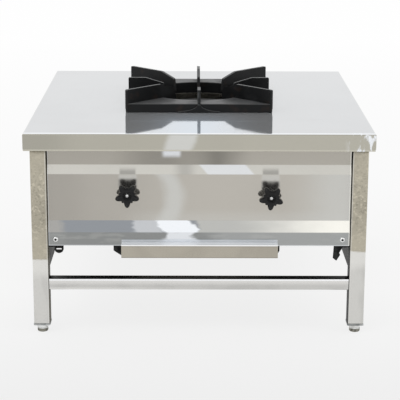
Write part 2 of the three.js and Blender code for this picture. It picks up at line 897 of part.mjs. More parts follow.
/** The middle line of a mixing tube, from its cup to the underside of its ring. */
function mixerPath(startX, startZ, endX, overrun) {
  const startY = cupFrontY + cupLength - cupWall;
  const straight = startY + mixerRadius * 2;
  const bendStart = -riserBend;
  const start = new THREE.Vector3(startX, startY - overrun, startZ);
  const leave = new THREE.Vector3(startX, straight, startZ);
  const arrive = new THREE.Vector3(endX, bendStart, mixerLevel);
  const pull = (bendStart - straight) * mixerEase;
  const path = new THREE.CurvePath();
  path.add(new THREE.LineCurve3(start, leave));
  path.add(new THREE.CubicBezierCurve3(
    leave,
    new THREE.Vector3(startX, straight + pull, startZ),
    new THREE.Vector3(endX, bendStart - pull, mixerLevel),
    arrive,
  ));
  const bendTop = new THREE.Vector3(endX, 0, mixerLevel + riserBend);
  path.add(new THREE.CubicBezierCurve3(
    arrive,
    new THREE.Vector3(endX, bendStart + quarterHandle * riserBend, mixerLevel),
    new THREE.Vector3(endX, 0, mixerLevel + riserBend * (1 - quarterHandle)),
    bendTop,
  ));
  return path;
}

function mixingTube(startX, startZ, endX) {
  const cupSpan = [cupFrontY, cupFrontY + cupLength];
  const cup = rod('y', cupRadius, cupSpan, [startX, startZ]);
  const hollowSpan = [cupSpan[0] + cupWall, cupSpan[1] - cupWall];
  const hollow = rod('y', cupRadius - cupWall, hollowSpan, [startX, startZ]);
  const windows = [];
  for (let window = 0; window < windowCount; window += 1) {
    windows.push(rod('y', windowRadius, [cupFrontY - cupWall, cupFrontY + 2 * cupWall],
      windowCentre(window, startX, startZ), smallSides));
  }
  const nozzleHole = rod('y', nozzleRadius + fit, [cupFrontY - cupWall, cupFrontY + 2 * cupWall],
    [startX, startZ], smallSides);
  const body = join(cup, sweep(mixerPath(startX, startZ, endX, 0), mixerRadius));
  const bore = sweep(mixerPath(startX, startZ, endX, cupWall), mixerBore);
  const above = block([-halfWidth, halfWidth], [-halfDepth, halfDepth], [burnerBottom, topHeight]);
  const trimmed = cut(body, above);
  return cut(trimmed, hollow, bore, nozzleHole, ...windows);
}

/** Where a window of a cup or a shutter lies, in (x, z). */
function windowCentre(window, x, z) {
  const angle = (window / windowCount) * fullTurn + quarterTurn;
  return [x + windowCircle * Math.cos(angle), z + windowCircle * Math.sin(angle)];
}

function airShutter() {
  const span = [0, shutterThickness];
  const through = [-shutterThickness, 2 * shutterThickness];
  const holes = [rod('y', nozzleRadius + fit, through, [0, 0], smallSides)];
  for (let window = 0; window < windowCount; window += 1) {
    holes.push(rod('y', windowRadius, through, windowCentre(window, 0, 0), smallSides));
  }
  return cut(rod('y', cupRadius, span), ...holes);
}

// ---- Valves, nozzles and knobs ----

function valveBody(height) {
  const bossTop = manifoldHeight + bossHeight;
  const spigotY = manifoldY - valveFrontY;
  const body = join(
    rod('y', valveRadius, [glandLength - past, valveLength]),
    hexRod('y', glandFlats, [0, glandLength], [0, 0]),
    rod('z', spigotRadius, [bossTop + fit - height, 0], [0, spigotY], smallSides),
  );
  const stemBore = rod('y', stemRadius + stemGap, [-glandLength, valveBoreDepth], [0, 0], smallSides);
  const inlet = rod('z', spigotBore, [-height, 0], [0, spigotY], smallSides);
  const outlet = rod('y', outletBore, [valveBoreDepth - past, valveLength + glandLength], [0, 0], smallSides);
  return cut(body, stemBore, inlet, outlet);
}

function nozzle() {
  const hex = hexRod('y', nozzleFlats, [0, nozzleHexLength], [0, 0]);
  const shankSpan = [nozzleHexLength / 2, nozzleHexLength + nozzleShank];
  const shank = rod('y', nozzleRadius, shankSpan, [0, 0], smallSides);
  const tipStart = nozzleHexLength + nozzleShank - past;
  const tipSpan = [tipStart, tipStart + nozzleTip];
  const tip = rod('y', nozzleRadius - nozzleStep, tipSpan, [0, 0], smallSides, nozzleTipRadius);
  const bore = rod('y', nozzleBore, [-nozzleTip, tipStart + 2 * nozzleTip], [0, 0], portSides);
  return cut(join(hex, shank, tip), bore);
}

function valveStem() {
  const front = knobFrontY + knobCapDepth + fit;
  const back = valveFrontY + valveBoreDepth - fit;
  return rod('y', stemRadius, [front, back], [0, 0], smallSides);
}

/** The knob's outline: five tips with a small lobe between each two, one tip pointing down. */
function knobOutline() {
  const count = knobLobes * knobPointsPerLobe;
  const tipHeight = knobTipRadius - knobWaistRadius;
  const points = [];
  for (let i = 0; i < count; i += 1) {
    const phase = (i / knobPointsPerLobe) * fullTurn;
    const tip = ((1 + Math.cos(phase)) / 2) ** tipSharpness;
    const small = ((1 - Math.cos(phase)) / 2) ** smallLobeSharpness;
    const radius = knobWaistRadius + tipHeight * tip + knobSmallLobe * small;
    const angle = (i / count) * fullTurn - quarterTurn;
    points.push([radius * Math.cos(angle), radius * Math.sin(angle)]);
  }
  return points;
}

function knob() {
  const inner = knobOutline().map(([u, v]) => {
    const shrink = 1 - knobBevel / Math.hypot(u, v);
    return [u * shrink, -v * shrink];
  });
  const star = new THREE.ExtrudeGeometry(outlineShape(inner), {
    depth: knobThickness - 2 * knobBevel,
    bevelThickness: knobBevel,
    bevelSize: knobBevel,
    bevelSegments: 2,
  });
  star.translate(0, 0, -knobThickness / 2 + knobBevel);
  const hub = rod('y', knobHubRadius, [0, knobThickness / 2 + knobHubLength]);
  const recess = rod('y', knobCapRadius, [-knobThickness, -knobThickness / 2 + knobCapDepth]);
  const bore = rod('y', stemRadius + fit, [-knobThickness, 2 * knobThickness], [0, 0], smallSides);
  return cut(join(alongAxis(star, 'y'), hub), recess, bore);
}

function knobScrew() {
  return turned([
    [0, -knobScrewHeight],
    [knobScrewRadius * screwCrown, -knobScrewHeight],
    [knobScrewRadius, -knobScrewHeight * screwCrown],
    [knobScrewRadius, 0],
    [0, 0],
  ], smallSides).rotateX(-quarterTurn);
}

const ringEnds = { left: innerChannelX, right: outerChannelX };
const ringNames = { left: 'inner', right: 'outer' };

for (const { side, x, height, turn } of valves) {
  const angle = THREE.MathUtils.degToRad(-turn);
  place(`valve_body_${side}`, valveBody(height), brass(), [x, valveFrontY, height]);
  place(`valve_stem_${side}`, valveStem(), brightSteel(), [x, 0, height]);
  place(`knob_${side}`, knob(), blackPlastic(), [x, knobMiddleY, height]).rotation.y = angle;
  place(`knob_screw_${side}`, knobScrew(), brightSteel(), [x, knobFrontY + knobCapDepth, height]);
  place(`gas_nozzle_${side}`, nozzle(), brass(), [x, valveBackY + fit, height]);
  place(`air_shutter_${side}`, airShutter(), frameSteel(), [x, shutterFrontY, height]);
  place(`mixing_tube_${ringNames[side]}`, mixingTube(x, height, ringEnds[side]), castIron());
}

// ---- Manifold and supply ----

function manifoldPipe() {
  const centre = [manifoldY, manifoldHeight];
  const span = [manifoldLeft, manifoldRight];
  const bosses = valves.map(({ x }) => rod('z', bossRadius,
    [manifoldHeight, manifoldHeight + bossHeight], [x, manifoldY], smallSides));
  const drills = valves.map(({ x }) => rod('z', spigotBore,
    [manifoldHeight, manifoldHeight + bossHeight + pipeRadius], [x, manifoldY], smallSides));
  const pipe = join(rod('x', pipeRadius, span, centre), ...bosses);
  const bore = rod('x', pipeBore, [span[0] - pipeRadius, span[1] + pipeRadius], centre);
  return cut(pipe, bore, ...drills);
}

function manifoldPlug() {
  const headStart = manifoldRight + fit;
  const centre = [manifoldY, manifoldHeight];
  return join(
    hexRod('x', plugFlats, [headStart, headStart + plugHeadLength], centre),
    rod('x', pipeBore - fit, [manifoldRight - plugSpigotLength, headStart + plugHeadLength / 2], centre),
  );
}

const elbowEndX = supplyX + elbowReach + elbowSocket;
const elbowEndY = manifoldY + elbowReach + elbowSocket;

function supplyElbow() {
  const crossways = [manifoldY, manifoldHeight];
  const lengthways = [supplyX, manifoldHeight];
  const knee = new THREE.SphereGeometry(elbowRadius, smallSides, smallSides / 2);
  const body = join(
    rod('x', elbowRadius, [supplyX, elbowEndX], crossways),
    rod('y', elbowRadius, [manifoldY, elbowEndY], lengthways),
    knee.translate(supplyX, manifoldY, manifoldHeight),
  );
  return cut(
    body,
    rod('x', pipeBore, [supplyX, elbowEndX + fit], crossways),
    rod('y', pipeBore, [manifoldY, elbowEndY + fit], lengthways),
    rod('x', pipeRadius + fit, [manifoldLeft - fit, elbowEndX + past], crossways),
    rod('y', pipeRadius + fit, [elbowEndY - elbowSocket - fit, elbowEndY + past], lengthways),
  );
}

const supplyFrontY = elbowEndY - elbowSocket;
// The inlet ends as far behind the middle as the knobs stand in front of it.
const inletBackY = -knobFrontY;
const inletFrontY = inletBackY - inletLength;
const supplyBackY = inletFrontY + inletGrip;

function supplyPipe() {
  const centre = [supplyX, manifoldHeight];
  return cut(
    rod('y', pipeRadius, [supplyFrontY, supplyBackY], centre),
    rod('y', pipeBore, [supplyFrontY - past, supplyBackY + past], centre),
  );
}

/** The socket on the supply pipe's end. It passes through the rear panel. */
function inletSocket() {
  const centre = [supplyX, manifoldHeight];
  return cut(
    rod('y', inletRadius, [inletFrontY, inletBackY], centre),
    rod('y', pipeBore, [inletFrontY - past, inletBackY + past], centre),
    rod('y', pipeRadius + fit, [inletFrontY - past, supplyBackY + fit], centre),
  );
}

/** A cradle that stands on the front cross angle and holds the manifold from below. */
function manifoldSaddle(x) {
  const span = [x - saddleWidth / 2, x + saddleWidth / 2];
  const standY = crossFrontY + crossThickness + fit;
  const standZ = crossBottom + crossThickness + fit;
  const reach = pipeRadius + fit + saddleThickness;
  const footing = block(span, [standY, crossFrontY + crossSize], [standZ, standZ + saddleThickness]);
  const upright = block(span, [manifoldY - saddleThickness / 2, manifoldY + saddleThickness / 2],
    [standZ, manifoldHeight - pipeRadius]);
  const cradle = cut(
    rod('x', reach, span, [manifoldY, manifoldHeight]),
    rod('x', pipeRadius + fit, [span[0] - past, span[1] + past], [manifoldY, manifoldHeight]),
    block([span[0] - past, span[1] + past], [manifoldY - reach, manifoldY + reach],
      [manifoldHeight, manifoldHeight + reach]),
  );
  return join(footing, cut(upright, rod('x', pipeRadius + fit, span, [manifoldY, manifoldHeight])), cradle);
}

place('manifold_pipe', manifoldPipe(), pipeSteel());
place('manifold_plug', manifoldPlug(), pipeSteel());
place('supply_elbow', supplyElbow(), pipeSteel());
place('supply_pipe', supplyPipe(), pipeSteel());
place('gas_inlet_socket', inletSocket(), brass());
place('manifold_saddle_left', manifoldSaddle(-knobSpacing / 2 + saddleInset), frameSteel());
place('manifold_saddle_right', manifoldSaddle(knobSpacing / 2 - saddleInset), frameSteel());

// ---- Pot grate ----

/** One upright fin, drawn outwards along X and then turned to its direction. */
function fin(angle, outer) {
  const profile = [
    [finInnerRadius, finUnderside],
    [finInnerRadius + finToe, finRise - finSlopeDrop],
    [finInnerRadius + finSlopeLength, finRise],
    [outer, finRise],
    [outer, finCorner + fit],
    [outer - finCorner, fit],
    [outer - frameSkin, fit],
    [outer - frameSkin, finUnderside],
  ];
  return pushY(profile, [-finThickness / 2, finThickness / 2]).rotateZ(angle);
}

/** The flared foot of the front or rear fin, on the outside of the frame. */
function finGusset(sy) {
  const curveSteps = 5;
  const flare = [];
  for (let step = 0; step <= curveSteps; step += 1) {
    const angle = (step / curveSteps) * quarterTurn;
    const across = finThickness / 2 + (gussetHalfWidth - finThickness / 2) * (1 - Math.cos(angle));
    flare.push([across, fit + gussetLip + gussetHeight * (1 - Math.sin(angle))]);
  }
  const right = [...flare, [gussetHalfWidth, fit]];
  const left = right.map(([u, v]) => [-u, v]).reverse();
  const outside = grateWidth / 2 + gussetReach;
  const inside = grateWidth / 2 - frameSkin / 2;
  const span = sy < 0 ? [-outside, -inside] : [inside, outside];
  return pushY([...right, ...left], span);
}

function potGrate() {
  const half = grateWidth / 2;
  const square = [[-half, -half], [half, -half], [half, half], [-half, half]];
  const reach = half - frameSkin;
  const inner = [[-reach, -reach], [reach, -reach], [reach, reach], [-reach, reach]];
  const skirt = raise(square, [fit, frameHeight], [outlineShape(inner)]);
  const rimOutside = grateOpeningRadius + frameSkin;
  const rim = turned(closedLoop([
    [grateOpeningRadius, -rimDrop],
    [rimOutside, -rimDrop],
    [rimOutside, frameHeight],
    [grateOpeningRadius, frameHeight],
  ]), ringSides);
  const plate = cut(
    raise(square, [frameHeight - frameSkin, frameHeight]),
    rod('z', grateOpeningRadius + frameSkin / 2, [0, 2 * frameHeight], [0, 0], ringSides),
  );
  const fins = [];
  for (let i = 0; i < finCount; i += 1) {
    const diagonal = i % 2 === 1;
    fins.push(fin((i / finCount) * fullTurn, diagonal ? (half - diagonalFinInset) * Math.SQRT2 : half));
  }
  return join(skirt, rim, plate, ...fins, finGusset(-1), finGusset(1));
}

place('pot_grate', potGrate(), castIron(), [0, 0, topHeight]);

export default range;
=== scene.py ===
import math

import bmesh
import bpy
from mathutils import Matrix, Vector


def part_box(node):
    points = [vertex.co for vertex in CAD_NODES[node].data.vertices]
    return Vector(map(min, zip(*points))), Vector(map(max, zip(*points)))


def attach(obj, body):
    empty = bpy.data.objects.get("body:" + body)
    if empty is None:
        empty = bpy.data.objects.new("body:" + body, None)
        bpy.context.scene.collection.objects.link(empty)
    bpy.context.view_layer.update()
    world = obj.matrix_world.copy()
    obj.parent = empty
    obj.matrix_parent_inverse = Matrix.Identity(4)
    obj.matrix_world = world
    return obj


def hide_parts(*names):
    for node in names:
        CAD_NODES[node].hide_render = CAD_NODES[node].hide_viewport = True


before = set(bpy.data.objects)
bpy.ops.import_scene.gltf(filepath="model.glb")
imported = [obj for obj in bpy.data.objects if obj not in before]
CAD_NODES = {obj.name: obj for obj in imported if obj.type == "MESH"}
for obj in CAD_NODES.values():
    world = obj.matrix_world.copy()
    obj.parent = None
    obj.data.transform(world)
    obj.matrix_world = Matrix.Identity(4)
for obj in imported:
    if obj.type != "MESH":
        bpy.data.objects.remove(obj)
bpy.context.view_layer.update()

bl_info = {
    "name": "Stock Pot Range",
    "version": (1, 0, 0),
    "blender": (4, 5, 0),
    "location": "3D View > Sidebar > Range",
    "description": "Finished pieces, materials and a studio for the packed stock pot range",
    "category": "Object",
}

FIXED = "range_frame"
MM = 0.001
CORNERS = ("front_left", "front_right", "rear_left", "rear_right")
PLAIN_FACET = 0.0625              # heights of the front panel's facets, from the top edge down
UPPER_SLOPE = 0.0205
MAIN_FACET = 0.1025
LOWER_SLOPE = 0.026
FINISHED = "_finish"              # end of a material's name, apart from the slot's of that name
LEG_TONE_HEIGHT = 0.168           # where the left legs turn from beige to bright
LEG_TONE_STEP = 0.019             # how much higher the right legs turn
SIDES = ("left", "right")


def low(node):
    """The lowest corner of a CAD node."""
    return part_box(node)[0]


def high(node):
    """The highest corner of a CAD node."""
    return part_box(node)[1]


def middle(node):
    """The middle of a CAD node's box."""
    return (low(node) + high(node)) / 2


# ---------------------------------------------------------------------------------------------
# Sizes and colours that a user would change
# ---------------------------------------------------------------------------------------------


def length(name, description, default):
    """A size in metres."""
    return bpy.props.FloatProperty(
        name=name, description=description, default=default, min=0.0, unit="LENGTH", precision=5
    )


def count(name, description, default):
    """A whole number of at least three."""
    return bpy.props.IntProperty(name=name, description=description, default=default, min=3)


def share(name, description, default):
    """A number from 0 to 1."""
    return bpy.props.FloatProperty(
        name=name, description=description, default=default, min=0.0, max=1.0, subtype="FACTOR"
    )


def linear(value):
    """One channel of a screen colour, 0 to 255, as linear light."""
    value = value / 255.0
    return value / 12.92 if value <= 0.04045 else ((value + 0.055) / 1.055) ** 2.4


def screen(red, green, blue):
    """A screen colour as linear light with full alpha."""
    return (linear(red), linear(green), linear(blue), 1.0)


def colour(name, description, red, green, blue):
    """A colour, given as it shows on screen."""
    return bpy.props.FloatVectorProperty(
        name=name, description=description, default=screen(red, green, blue), size=4,
        min=0.0, max=1.0, subtype="COLOR",
    )


class RangeShapeSettings(bpy.types.PropertyGroup):
    """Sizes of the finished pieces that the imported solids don't give."""

    sheet_edge: length("Sheet edge", "Rounding on cut edges of thin sheet", 0.0003)
    bar_edge: length("Bar edge", "Rounding on edges of bars and fittings", 0.0006)
    cast_edge: length("Cast edge", "Rounding on edges of the cast grate", 0.0014)
    worktop_bend: length("Worktop bend", "Outer radius of the folded worktop edge", 0.0034)
    worktop_corner: length("Worktop corner", "Radius of the welded vertical corners", 0.0016)
    panel_bend: length("Panel bend", "Radius of the shallow bends in the front panel", 0.004)
    tube_corner: length("Leg corner", "Outer corner radius of the leg tubes", 0.003)
    thread_pitch: length("Foot thread pitch", "Pitch of the levelling feet's threads", 0.0015)
    round_steps: count("Round steps", "Faces round a turned piece", 72)
    knob_steps: count("Knob steps", "Points round one lobe of a knob", 28)
    port_sides: count("Port sides", "Faces round a burner port", 10)


class RangeFinishSettings(bpy.types.PropertyGroup):
    """Colours of the finishes, and of the light, shade and reflections painted on them."""

    worktop: colour("Worktop", "Smooth stainless of the worktop", 205, 207, 209)
    # Painted reflection: the grate mirrored bluish in the worktop in front of it.
    worktop_blue_reflection: colour("Worktop, cool", "Bluish place in front of the grate", 204, 214, 225)
    # Painted reflection: the skirts drawn in a warmer, darker tone than the flat.
    fascia: colour("Fascia", "Warmer tone of the worktop's folded skirts", 183, 180, 168)
    panel_shade: colour("Panel, shaded", "Upper facet of the front panel, under the worktop", 178, 174, 165)
    panel_bright: colour("Panel, bright", "Facets that slope to the light", 205, 203, 196)
    panel: colour("Panel", "Polished stainless of the front panel", 181, 177, 169)
    # Painted reflection: pale places in the polished sheet.
    panel_pale_reflection: colour("Panel, pale", "Pale cloudy places in the polish", 212, 212, 208)
    # Painted reflection: blue-grey places in the polished sheet.
    panel_cool_reflection: colour("Panel, cool", "Blue-grey places in the polish", 146, 150, 155)
    # Painted reflection: warm white on the lower slope's right half and along the panel's right edge.
    panel_warm_reflection: colour("Warm white", "Right half of the panel's lower slope, and its right edge", 250, 248, 240)
    # The white of painted highlights and reflections on the panels, worktop, stretchers and tray; the worktop's scuffs
    # take it too.
    panel_white: colour("Panel, whitest", "The palest glints in the polish", 243, 246, 250)
    # Painted reflection: the lowest facet drawn darker than the others.
    panel_foot: colour("Panel foot", "Lowest facet of the front panel", 170, 172, 171)
    side_panel: colour("Side panels", "Duller stainless of the side and rear panels", 186, 184, 177)
    # Painted shade: the dark of inner faces, recesses and inner corners.
    inside: colour("Inside", "Soiled inner faces of panels and legs", 27, 28, 26)
    leg_light: colour("Leg, lower part", "Bright tube of the legs' lower parts", 214, 213, 209)
    # Painted shade: the inner faces of the left legs.
    gap: colour("Gap", "Inner faces of the left legs", 92, 88, 76)
    leg_beige: colour("Leg, upper part", "Beige mottled tube of the legs' upper parts", 178, 172, 156)
    stretcher: colour("Stretcher", "Bright tube of the stretchers", 206, 205, 202)
    # Painted shade: the stretchers' top face drawn near-black.
    stretcher_top_shade: colour("Stretcher top", "Soiled upper face of the stretchers", 16, 16, 15)
    bar: colour("Bars", "Plain steel of rails, angles and supports", 142, 145, 144)
    tray: colour("Tray", "Folded sheet of the drip tray", 184, 178, 165)
    # Painted light: the drip tray's upward faces drawn brighter.
    tray_lit_flats: colour("Tray, upper faces", "Brighter flats of the drip tray", 226, 230, 235)
    # Painted shade: the brackets and tray runners sit in shadow and are drawn near-black.
    shadow_black: colour("Blackened steel", "Brackets and tray runners", 10, 10, 10)
    iron: colour("Cast iron", "Grate, burner and mixing tubes", 17, 18, 19)
    # Painted light: the castings' upward faces drawn pale grey.
    iron_lit_top: colour("Cast iron, upper faces", "Ash-grey upper faces of the castings", 92, 93, 94)
    burner: colour("Burner iron", "Scaled iron of the burner", 66, 67, 66)
    rust: colour("Rust", "Thin rust on the cast iron", 86, 60, 44)
    brass: colour("Brass", "Valves, nozzles and the gas inlet", 178, 144, 84)
    knob: colour("Knob", "Moulded plastic of the knobs", 11, 11, 12)
    plated: colour("Plated steel", "Screws and stems", 236, 237, 236)
    foot: colour("Feet", "Soiled plated steel of the feet", 150, 148, 138)
    pipe: colour("Gas pipe", "Grey gas pipe", 112, 115, 117)


class RangeStageSettings(bpy.types.PropertyGroup):
    """Camera, floor and light."""

    camera_place: bpy.props.FloatVectorProperty(
        name="Camera place", description="Where the camera stands", subtype="TRANSLATION",
        unit="LENGTH", default=(-0.0164, -3.3352, 1.0802),
    )
    pitch: bpy.props.FloatProperty(
        name="Pitch", description="How far the camera looks down", default=0.2578, unit="ROTATION"
    )
    yaw: bpy.props.FloatProperty(
        name="Yaw", description="How far the camera turns to the side", default=-0.0061,
        unit="ROTATION",
    )
    roll: bpy.props.FloatProperty(
        name="Roll", description="How far the camera leans", default=0.0034, unit="ROTATION"
    )
    lens: bpy.props.FloatProperty(
        name="Focal length", description="In millimetres, on a sensor 36 mm wide",
        default=127.74, unit="CAMERA",
    )
    floor: colour("Floor", "The pale floor", 253, 253, 253)
    floor_glow: share("Floor glow", "How much of the floor's white is its own, which lightens the shadow", 0.88)
    near_tone: bpy.props.FloatProperty(name="Near tone", description="Floor's white in front", default=0.835)
    middle_tone: bpy.props.FloatProperty(name="Middle tone", description="Floor's white below", default=0.95)
    far_tone: bpy.props.FloatProperty(name="Far tone", description="Floor's white behind", default=1.017)
    daylight: bpy.props.FloatProperty(
        name="Daylight", description="Even light from all round", default=0.82, min=0.0
    )
    key_power: bpy.props.FloatProperty(
        name="Key lamp", description="The large soft lamp above the front left", default=26.0,
        min=0.0, unit="POWER",
    )
    fill_power: bpy.props.FloatProperty(
        name="Fill lamp", description="The soft lamp on the right", default=12.0,
        min=0.0, unit="POWER",
    )


# ---------------------------------------------------------------------------------------------
# Meshes
# ---------------------------------------------------------------------------------------------


def new_piece(name, mesh):
    """An object in the scene, at the origin, with this mesh."""
    piece = bpy.data.objects.new(name, mesh)
    bpy.context.scene.collection.objects.link(piece)
    return piece


def mesh_of(name, points, faces):
    """A mesh with all faces smooth and turned outwards."""
    mesh = bpy.data.meshes.new(name)
    mesh.from_pydata([tuple(p) for p in points], [], faces)
    mesh.update()
    return outward(mesh)


def outward(mesh):
    """Doubles merged and faces turned outwards, then shaded smooth."""
    shape = bmesh.new()
    shape.from_mesh(mesh)
    bmesh.ops.remove_doubles(shape, verts=shape.verts, dist=2e-6)
    bmesh.ops.recalc_face_normals(shape, faces=shape.faces)
    shape.to_mesh(mesh)
    shape.free()
    mesh.shade_smooth()
    return mesh


def joined(name, meshes):
    """Several meshes as one, each a closed shell of its own."""
    shape = bmesh.new()
    for mesh in meshes:
        shape.from_mesh(mesh)
    whole = bpy.data.meshes.new(name)
    shape.to_mesh(whole)
    shape.free()
    whole.shade_smooth()
    for mesh in meshes:
        bpy.data.meshes.remove(mesh)
    return whole


def bridge(loops, ring=False, cap=True):
    """Faces between loops of equal length. A ring joins the last loop to the first."""
    size = len(loops[0])
    points = [p for loop in loops for p in loop]
    faces = []
    last = len(loops) if ring else len(loops) - 1
    for i in range(last):
        a, b = i * size, ((i + 1) % len(loops)) * size
        for k in range(size):
            n = (k + 1) % size
            faces.append((a + k, a + n, b + n, b + k))
    if cap and not ring:
        faces.append(tuple(reversed(range(size))))
        faces.append(tuple(range((len(loops) - 1) * size, len(loops) * size)))
    return points, faces


def rounded_box_loop(half_x, half_y, corner, z, side_points=2, corner_points=6):
    """A level rectangle with rounded corners, counter-clockwise from above."""
    loop = []
    for quarter, (sx, sy) in enumerate(((1, 1), (-1, 1), (-1, -1), (1, -1))):
        cx, cy = sx * (half_x - corner), sy * (half_y - corner)
        for k in range(corner_points + 1):
            angle = (quarter + k / corner_points) * math.pi / 2
            loop.append((cx + corner * math.cos(angle), cy + corner * math.sin(angle), z))
    return loop


def circle_loop(radius, z, angles):
    """A level circle with a point at each angle."""
    return [(radius * math.cos(a), radius * math.sin(a), z) for a in angles]


def turned(name, profile, steps, centre=(0, 0, 0), axis="Z", closed=False):
    """A profile of (radius, height) turned about an axis through centre."""
    angles = [2 * math.pi * k / steps for k in range(steps)]
    loops = [circle_loop(max(r, 1e-6), h, angles) for r, h in profile]
    points, faces = bridge(loops, ring=closed)
    swap = {
        "Z": lambda p: (p[0], p[1], p[2]),
        "Y": lambda p: (p[0], p[2], p[1]),
        "X": lambda p: (p[2], p[0], p[1]),
    }[axis]
    cx, cy, cz = centre
    moved = [(x + cx, y + cy, z + cz) for x, y, z in map(swap, points)]
    return mesh_of(name, moved, faces)


def arc(centre_u, centre_v, radius, start, end, steps):
    """Points along an arc in degrees, both ends included."""
    points = []
    for k in range(steps + 1):
        angle = math.radians(start + (end - start) * k / steps)
        points.append((centre_u + radius * math.cos(angle), centre_v + radius * math.sin(angle)))
    return points


def finished(piece):
    """The evaluated mesh becomes the piece's own, and its modifiers go."""
    graph = bpy.context.evaluated_depsgraph_get()
    graph.update()
    mesh = bpy.data.meshes.new_from_object(
        piece.evaluated_get(graph), preserve_all_data_layers=True, depsgraph=graph
    )
    old = piece.data
    piece.modifiers.clear()
    piece.data = mesh
    if old.users == 0:
        bpy.data.meshes.remove(old)
    return piece


def bevel(piece, width, segments=2, angle=28.0, clamp=True):
    """Rounds the edges of a piece and keeps its flat faces flat."""
    rounding = piece.modifiers.new("edges", "BEVEL")
    rounding.width = width
    rounding.segments = segments
    rounding.limit_method = "ANGLE"
    rounding.angle_limit = math.radians(angle)
    rounding.harden_normals = True
    rounding.use_clamp_overlap = clamp
    return finished(piece)


def sharpen(mesh, angle=32.0):
    """Smooth shading that stops at edges sharper than the angle."""
    mesh.set_sharp_from_angle(angle=math.radians(angle))
    return mesh


def solid_copy(node, name):
    """A clean copy of a CAD node: corners merged and flat faces made whole."""
    shape = bmesh.new()
    shape.from_mesh(CAD_NODES[node].data)
    bmesh.ops.remove_doubles(shape, verts=shape.verts, dist=1e-6)
    bmesh.ops.dissolve_limit(
        shape, angle_limit=math.radians(0.4), verts=shape.verts, edges=shape.edges
    )
    points = [v.co.copy() for v in shape.verts]
    shape.verts.index_update()
    faces = [[v.index for v in f.verts] for f in shape.faces]
    shape.free()
    mesh = bpy.data.meshes.new(name)
    mesh.from_pydata(points, [], faces)
    mesh.update()
    mesh.shade_smooth()
    return mesh


def settle(piece, body, slot, material, *nodes):
    """Gives a finished piece its material and its body, and hides the nodes it stands for; the slot is not used."""
    piece.data.materials.clear()
    piece.data.materials.append(material)
    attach(piece, body)
    if nodes:
        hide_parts(*nodes)
    return piece


def refined(node, slot, material, width, body=FIXED, segments=2):
    """A CAD node with its edges rounded, under the node's name with _finished."""
    piece = new_piece(node + "_finished", solid_copy(node, node + "_finished"))
    bevel(piece, width, segments)
    return settle(piece, body, slot, material, node)


# ---------------------------------------------------------------------------------------------
# Node trees
# ---------------------------------------------------------------------------------------------


def add(tree, kind, values=None, **settings):
    """A node in a tree. Values are numbers, colours or other nodes' outputs, by socket name or index."""
    item = tree.nodes.new(kind)
    for key, value in settings.items():
        setattr(item, key, value)
    for key, value in (values or {}).items():
        if isinstance(value, bpy.types.NodeSocket):
            tree.links.new(value, item.inputs[key])
        else:
            item.inputs[key].default_value = value
    return item


def new_group(name, kind, inputs, outputs):
    """A node group with named sockets: (tree, its input node, its output node)."""
    tree = bpy.data.node_groups.new(name, kind)
    for title, socket, default in inputs:
        made = tree.interface.new_socket(name=title, in_out="INPUT", socket_type=socket)
        if default is not None:
            made.default_value = default
    for title, socket in outputs:
        tree.interface.new_socket(name=title, in_out="OUTPUT", socket_type=socket)
    return tree, tree.nodes.new("NodeGroupInput"), tree.nodes.new("NodeGroupOutput")


def band(tree, value, start, end):
    """A mask that rises from 0 at start to 1 at end."""
    return add(
        tree, "ShaderNodeMapRange",
        {"Value": value, "From Min": start, "From Max": end, "To Min": 0.0, "To Max": 1.0},
        interpolation_type="SMOOTHSTEP",
    ).outputs["Result"]


def group_once(name, build):
    """The shader group of this name, built the first time that it is asked for."""
    return bpy.data.node_groups.get(name) or build(name)


def build_grain(name):
    """Fine parallel lines, as rolled or brushed sheet has, along one axis of the vector."""
    tree, inp, out = new_group(
        name, "ShaderNodeTree",
        [("Vector", "NodeSocketVector", None), ("Stretch", "NodeSocketVector", (1.0, 1.0, 1.0)),
         ("Scale", "NodeSocketFloat", 900.0)],
        [("Height", "NodeSocketFloat")],
    )
    placed = add(tree, "ShaderNodeMapping", {"Vector": inp.outputs["Vector"], "Scale": inp.outputs["Stretch"]})
    noise = add(tree, "ShaderNodeTexNoise",
                {"Vector": placed.outputs[0], "Scale": inp.outputs["Scale"], "Detail": 3.0, "Roughness": 0.6})
    tree.links.new(noise.outputs["Fac"], out.inputs["Height"])
    return tree


def build_waves(name):
    """Slow unevenness of thin sheet, which bends what it mirrors."""
    tree, inp, out = new_group(
        name, "ShaderNodeTree",
        [("Vector", "NodeSocketVector", None), ("Scale", "NodeSocketFloat", 5.0)],
        [("Height", "NodeSocketFloat")],
    )
    noise = add(tree, "ShaderNodeTexNoise",
                {"Vector": inp.outputs["Vector"], "Scale": inp.outputs["Scale"], "Detail": 1.0,
                 "Roughness": 0.4})
    tree.links.new(noise.outputs["Fac"], out.inputs["Height"])
    return tree


def build_smears(name):
    """Cloudy wipe marks with thin scratches: a mask for colour and one for roughness."""
    tree, inp, out = new_group(
        name, "ShaderNodeTree",
        [("Vector", "NodeSocketVector", None), ("Scale", "NodeSocketFloat", 9.0),
         ("Scratches", "NodeSocketFloat", 0.5)],
        [("Clouds", "NodeSocketFloat"), ("Marks", "NodeSocketFloat")],
    )
    clouds = add(tree, "ShaderNodeTexNoise",
                 {"Vector": inp.outputs["Vector"], "Scale": inp.outputs["Scale"], "Detail": 4.0,
                  "Roughness": 0.55, "Distortion": 0.6})
    soft = band(tree, clouds.outputs["Fac"], 0.38, 0.68)
    turnedvec = add(tree, "ShaderNodeMapping",
                    {"Vector": inp.outputs["Vector"], "Rotation": (0.3, 0.5, 0.7), "Scale": (1.0, 14.0, 1.0)})
    lines = add(tree, "ShaderNodeTexNoise",
                {"Vector": turnedvec.outputs[0], "Scale": 38.0, "Detail": 5.0, "Roughness": 0.7})
    thin = band(tree, lines.outputs["Fac"], 0.66, 0.74)
    scaled = add(tree, "ShaderNodeMath", {0: thin, 1: inp.outputs["Scratches"]}, operation="MULTIPLY")
    tree.links.new(soft, out.inputs["Clouds"])
    tree.links.new(scaled.outputs[0], out.inputs["Marks"])
    return tree


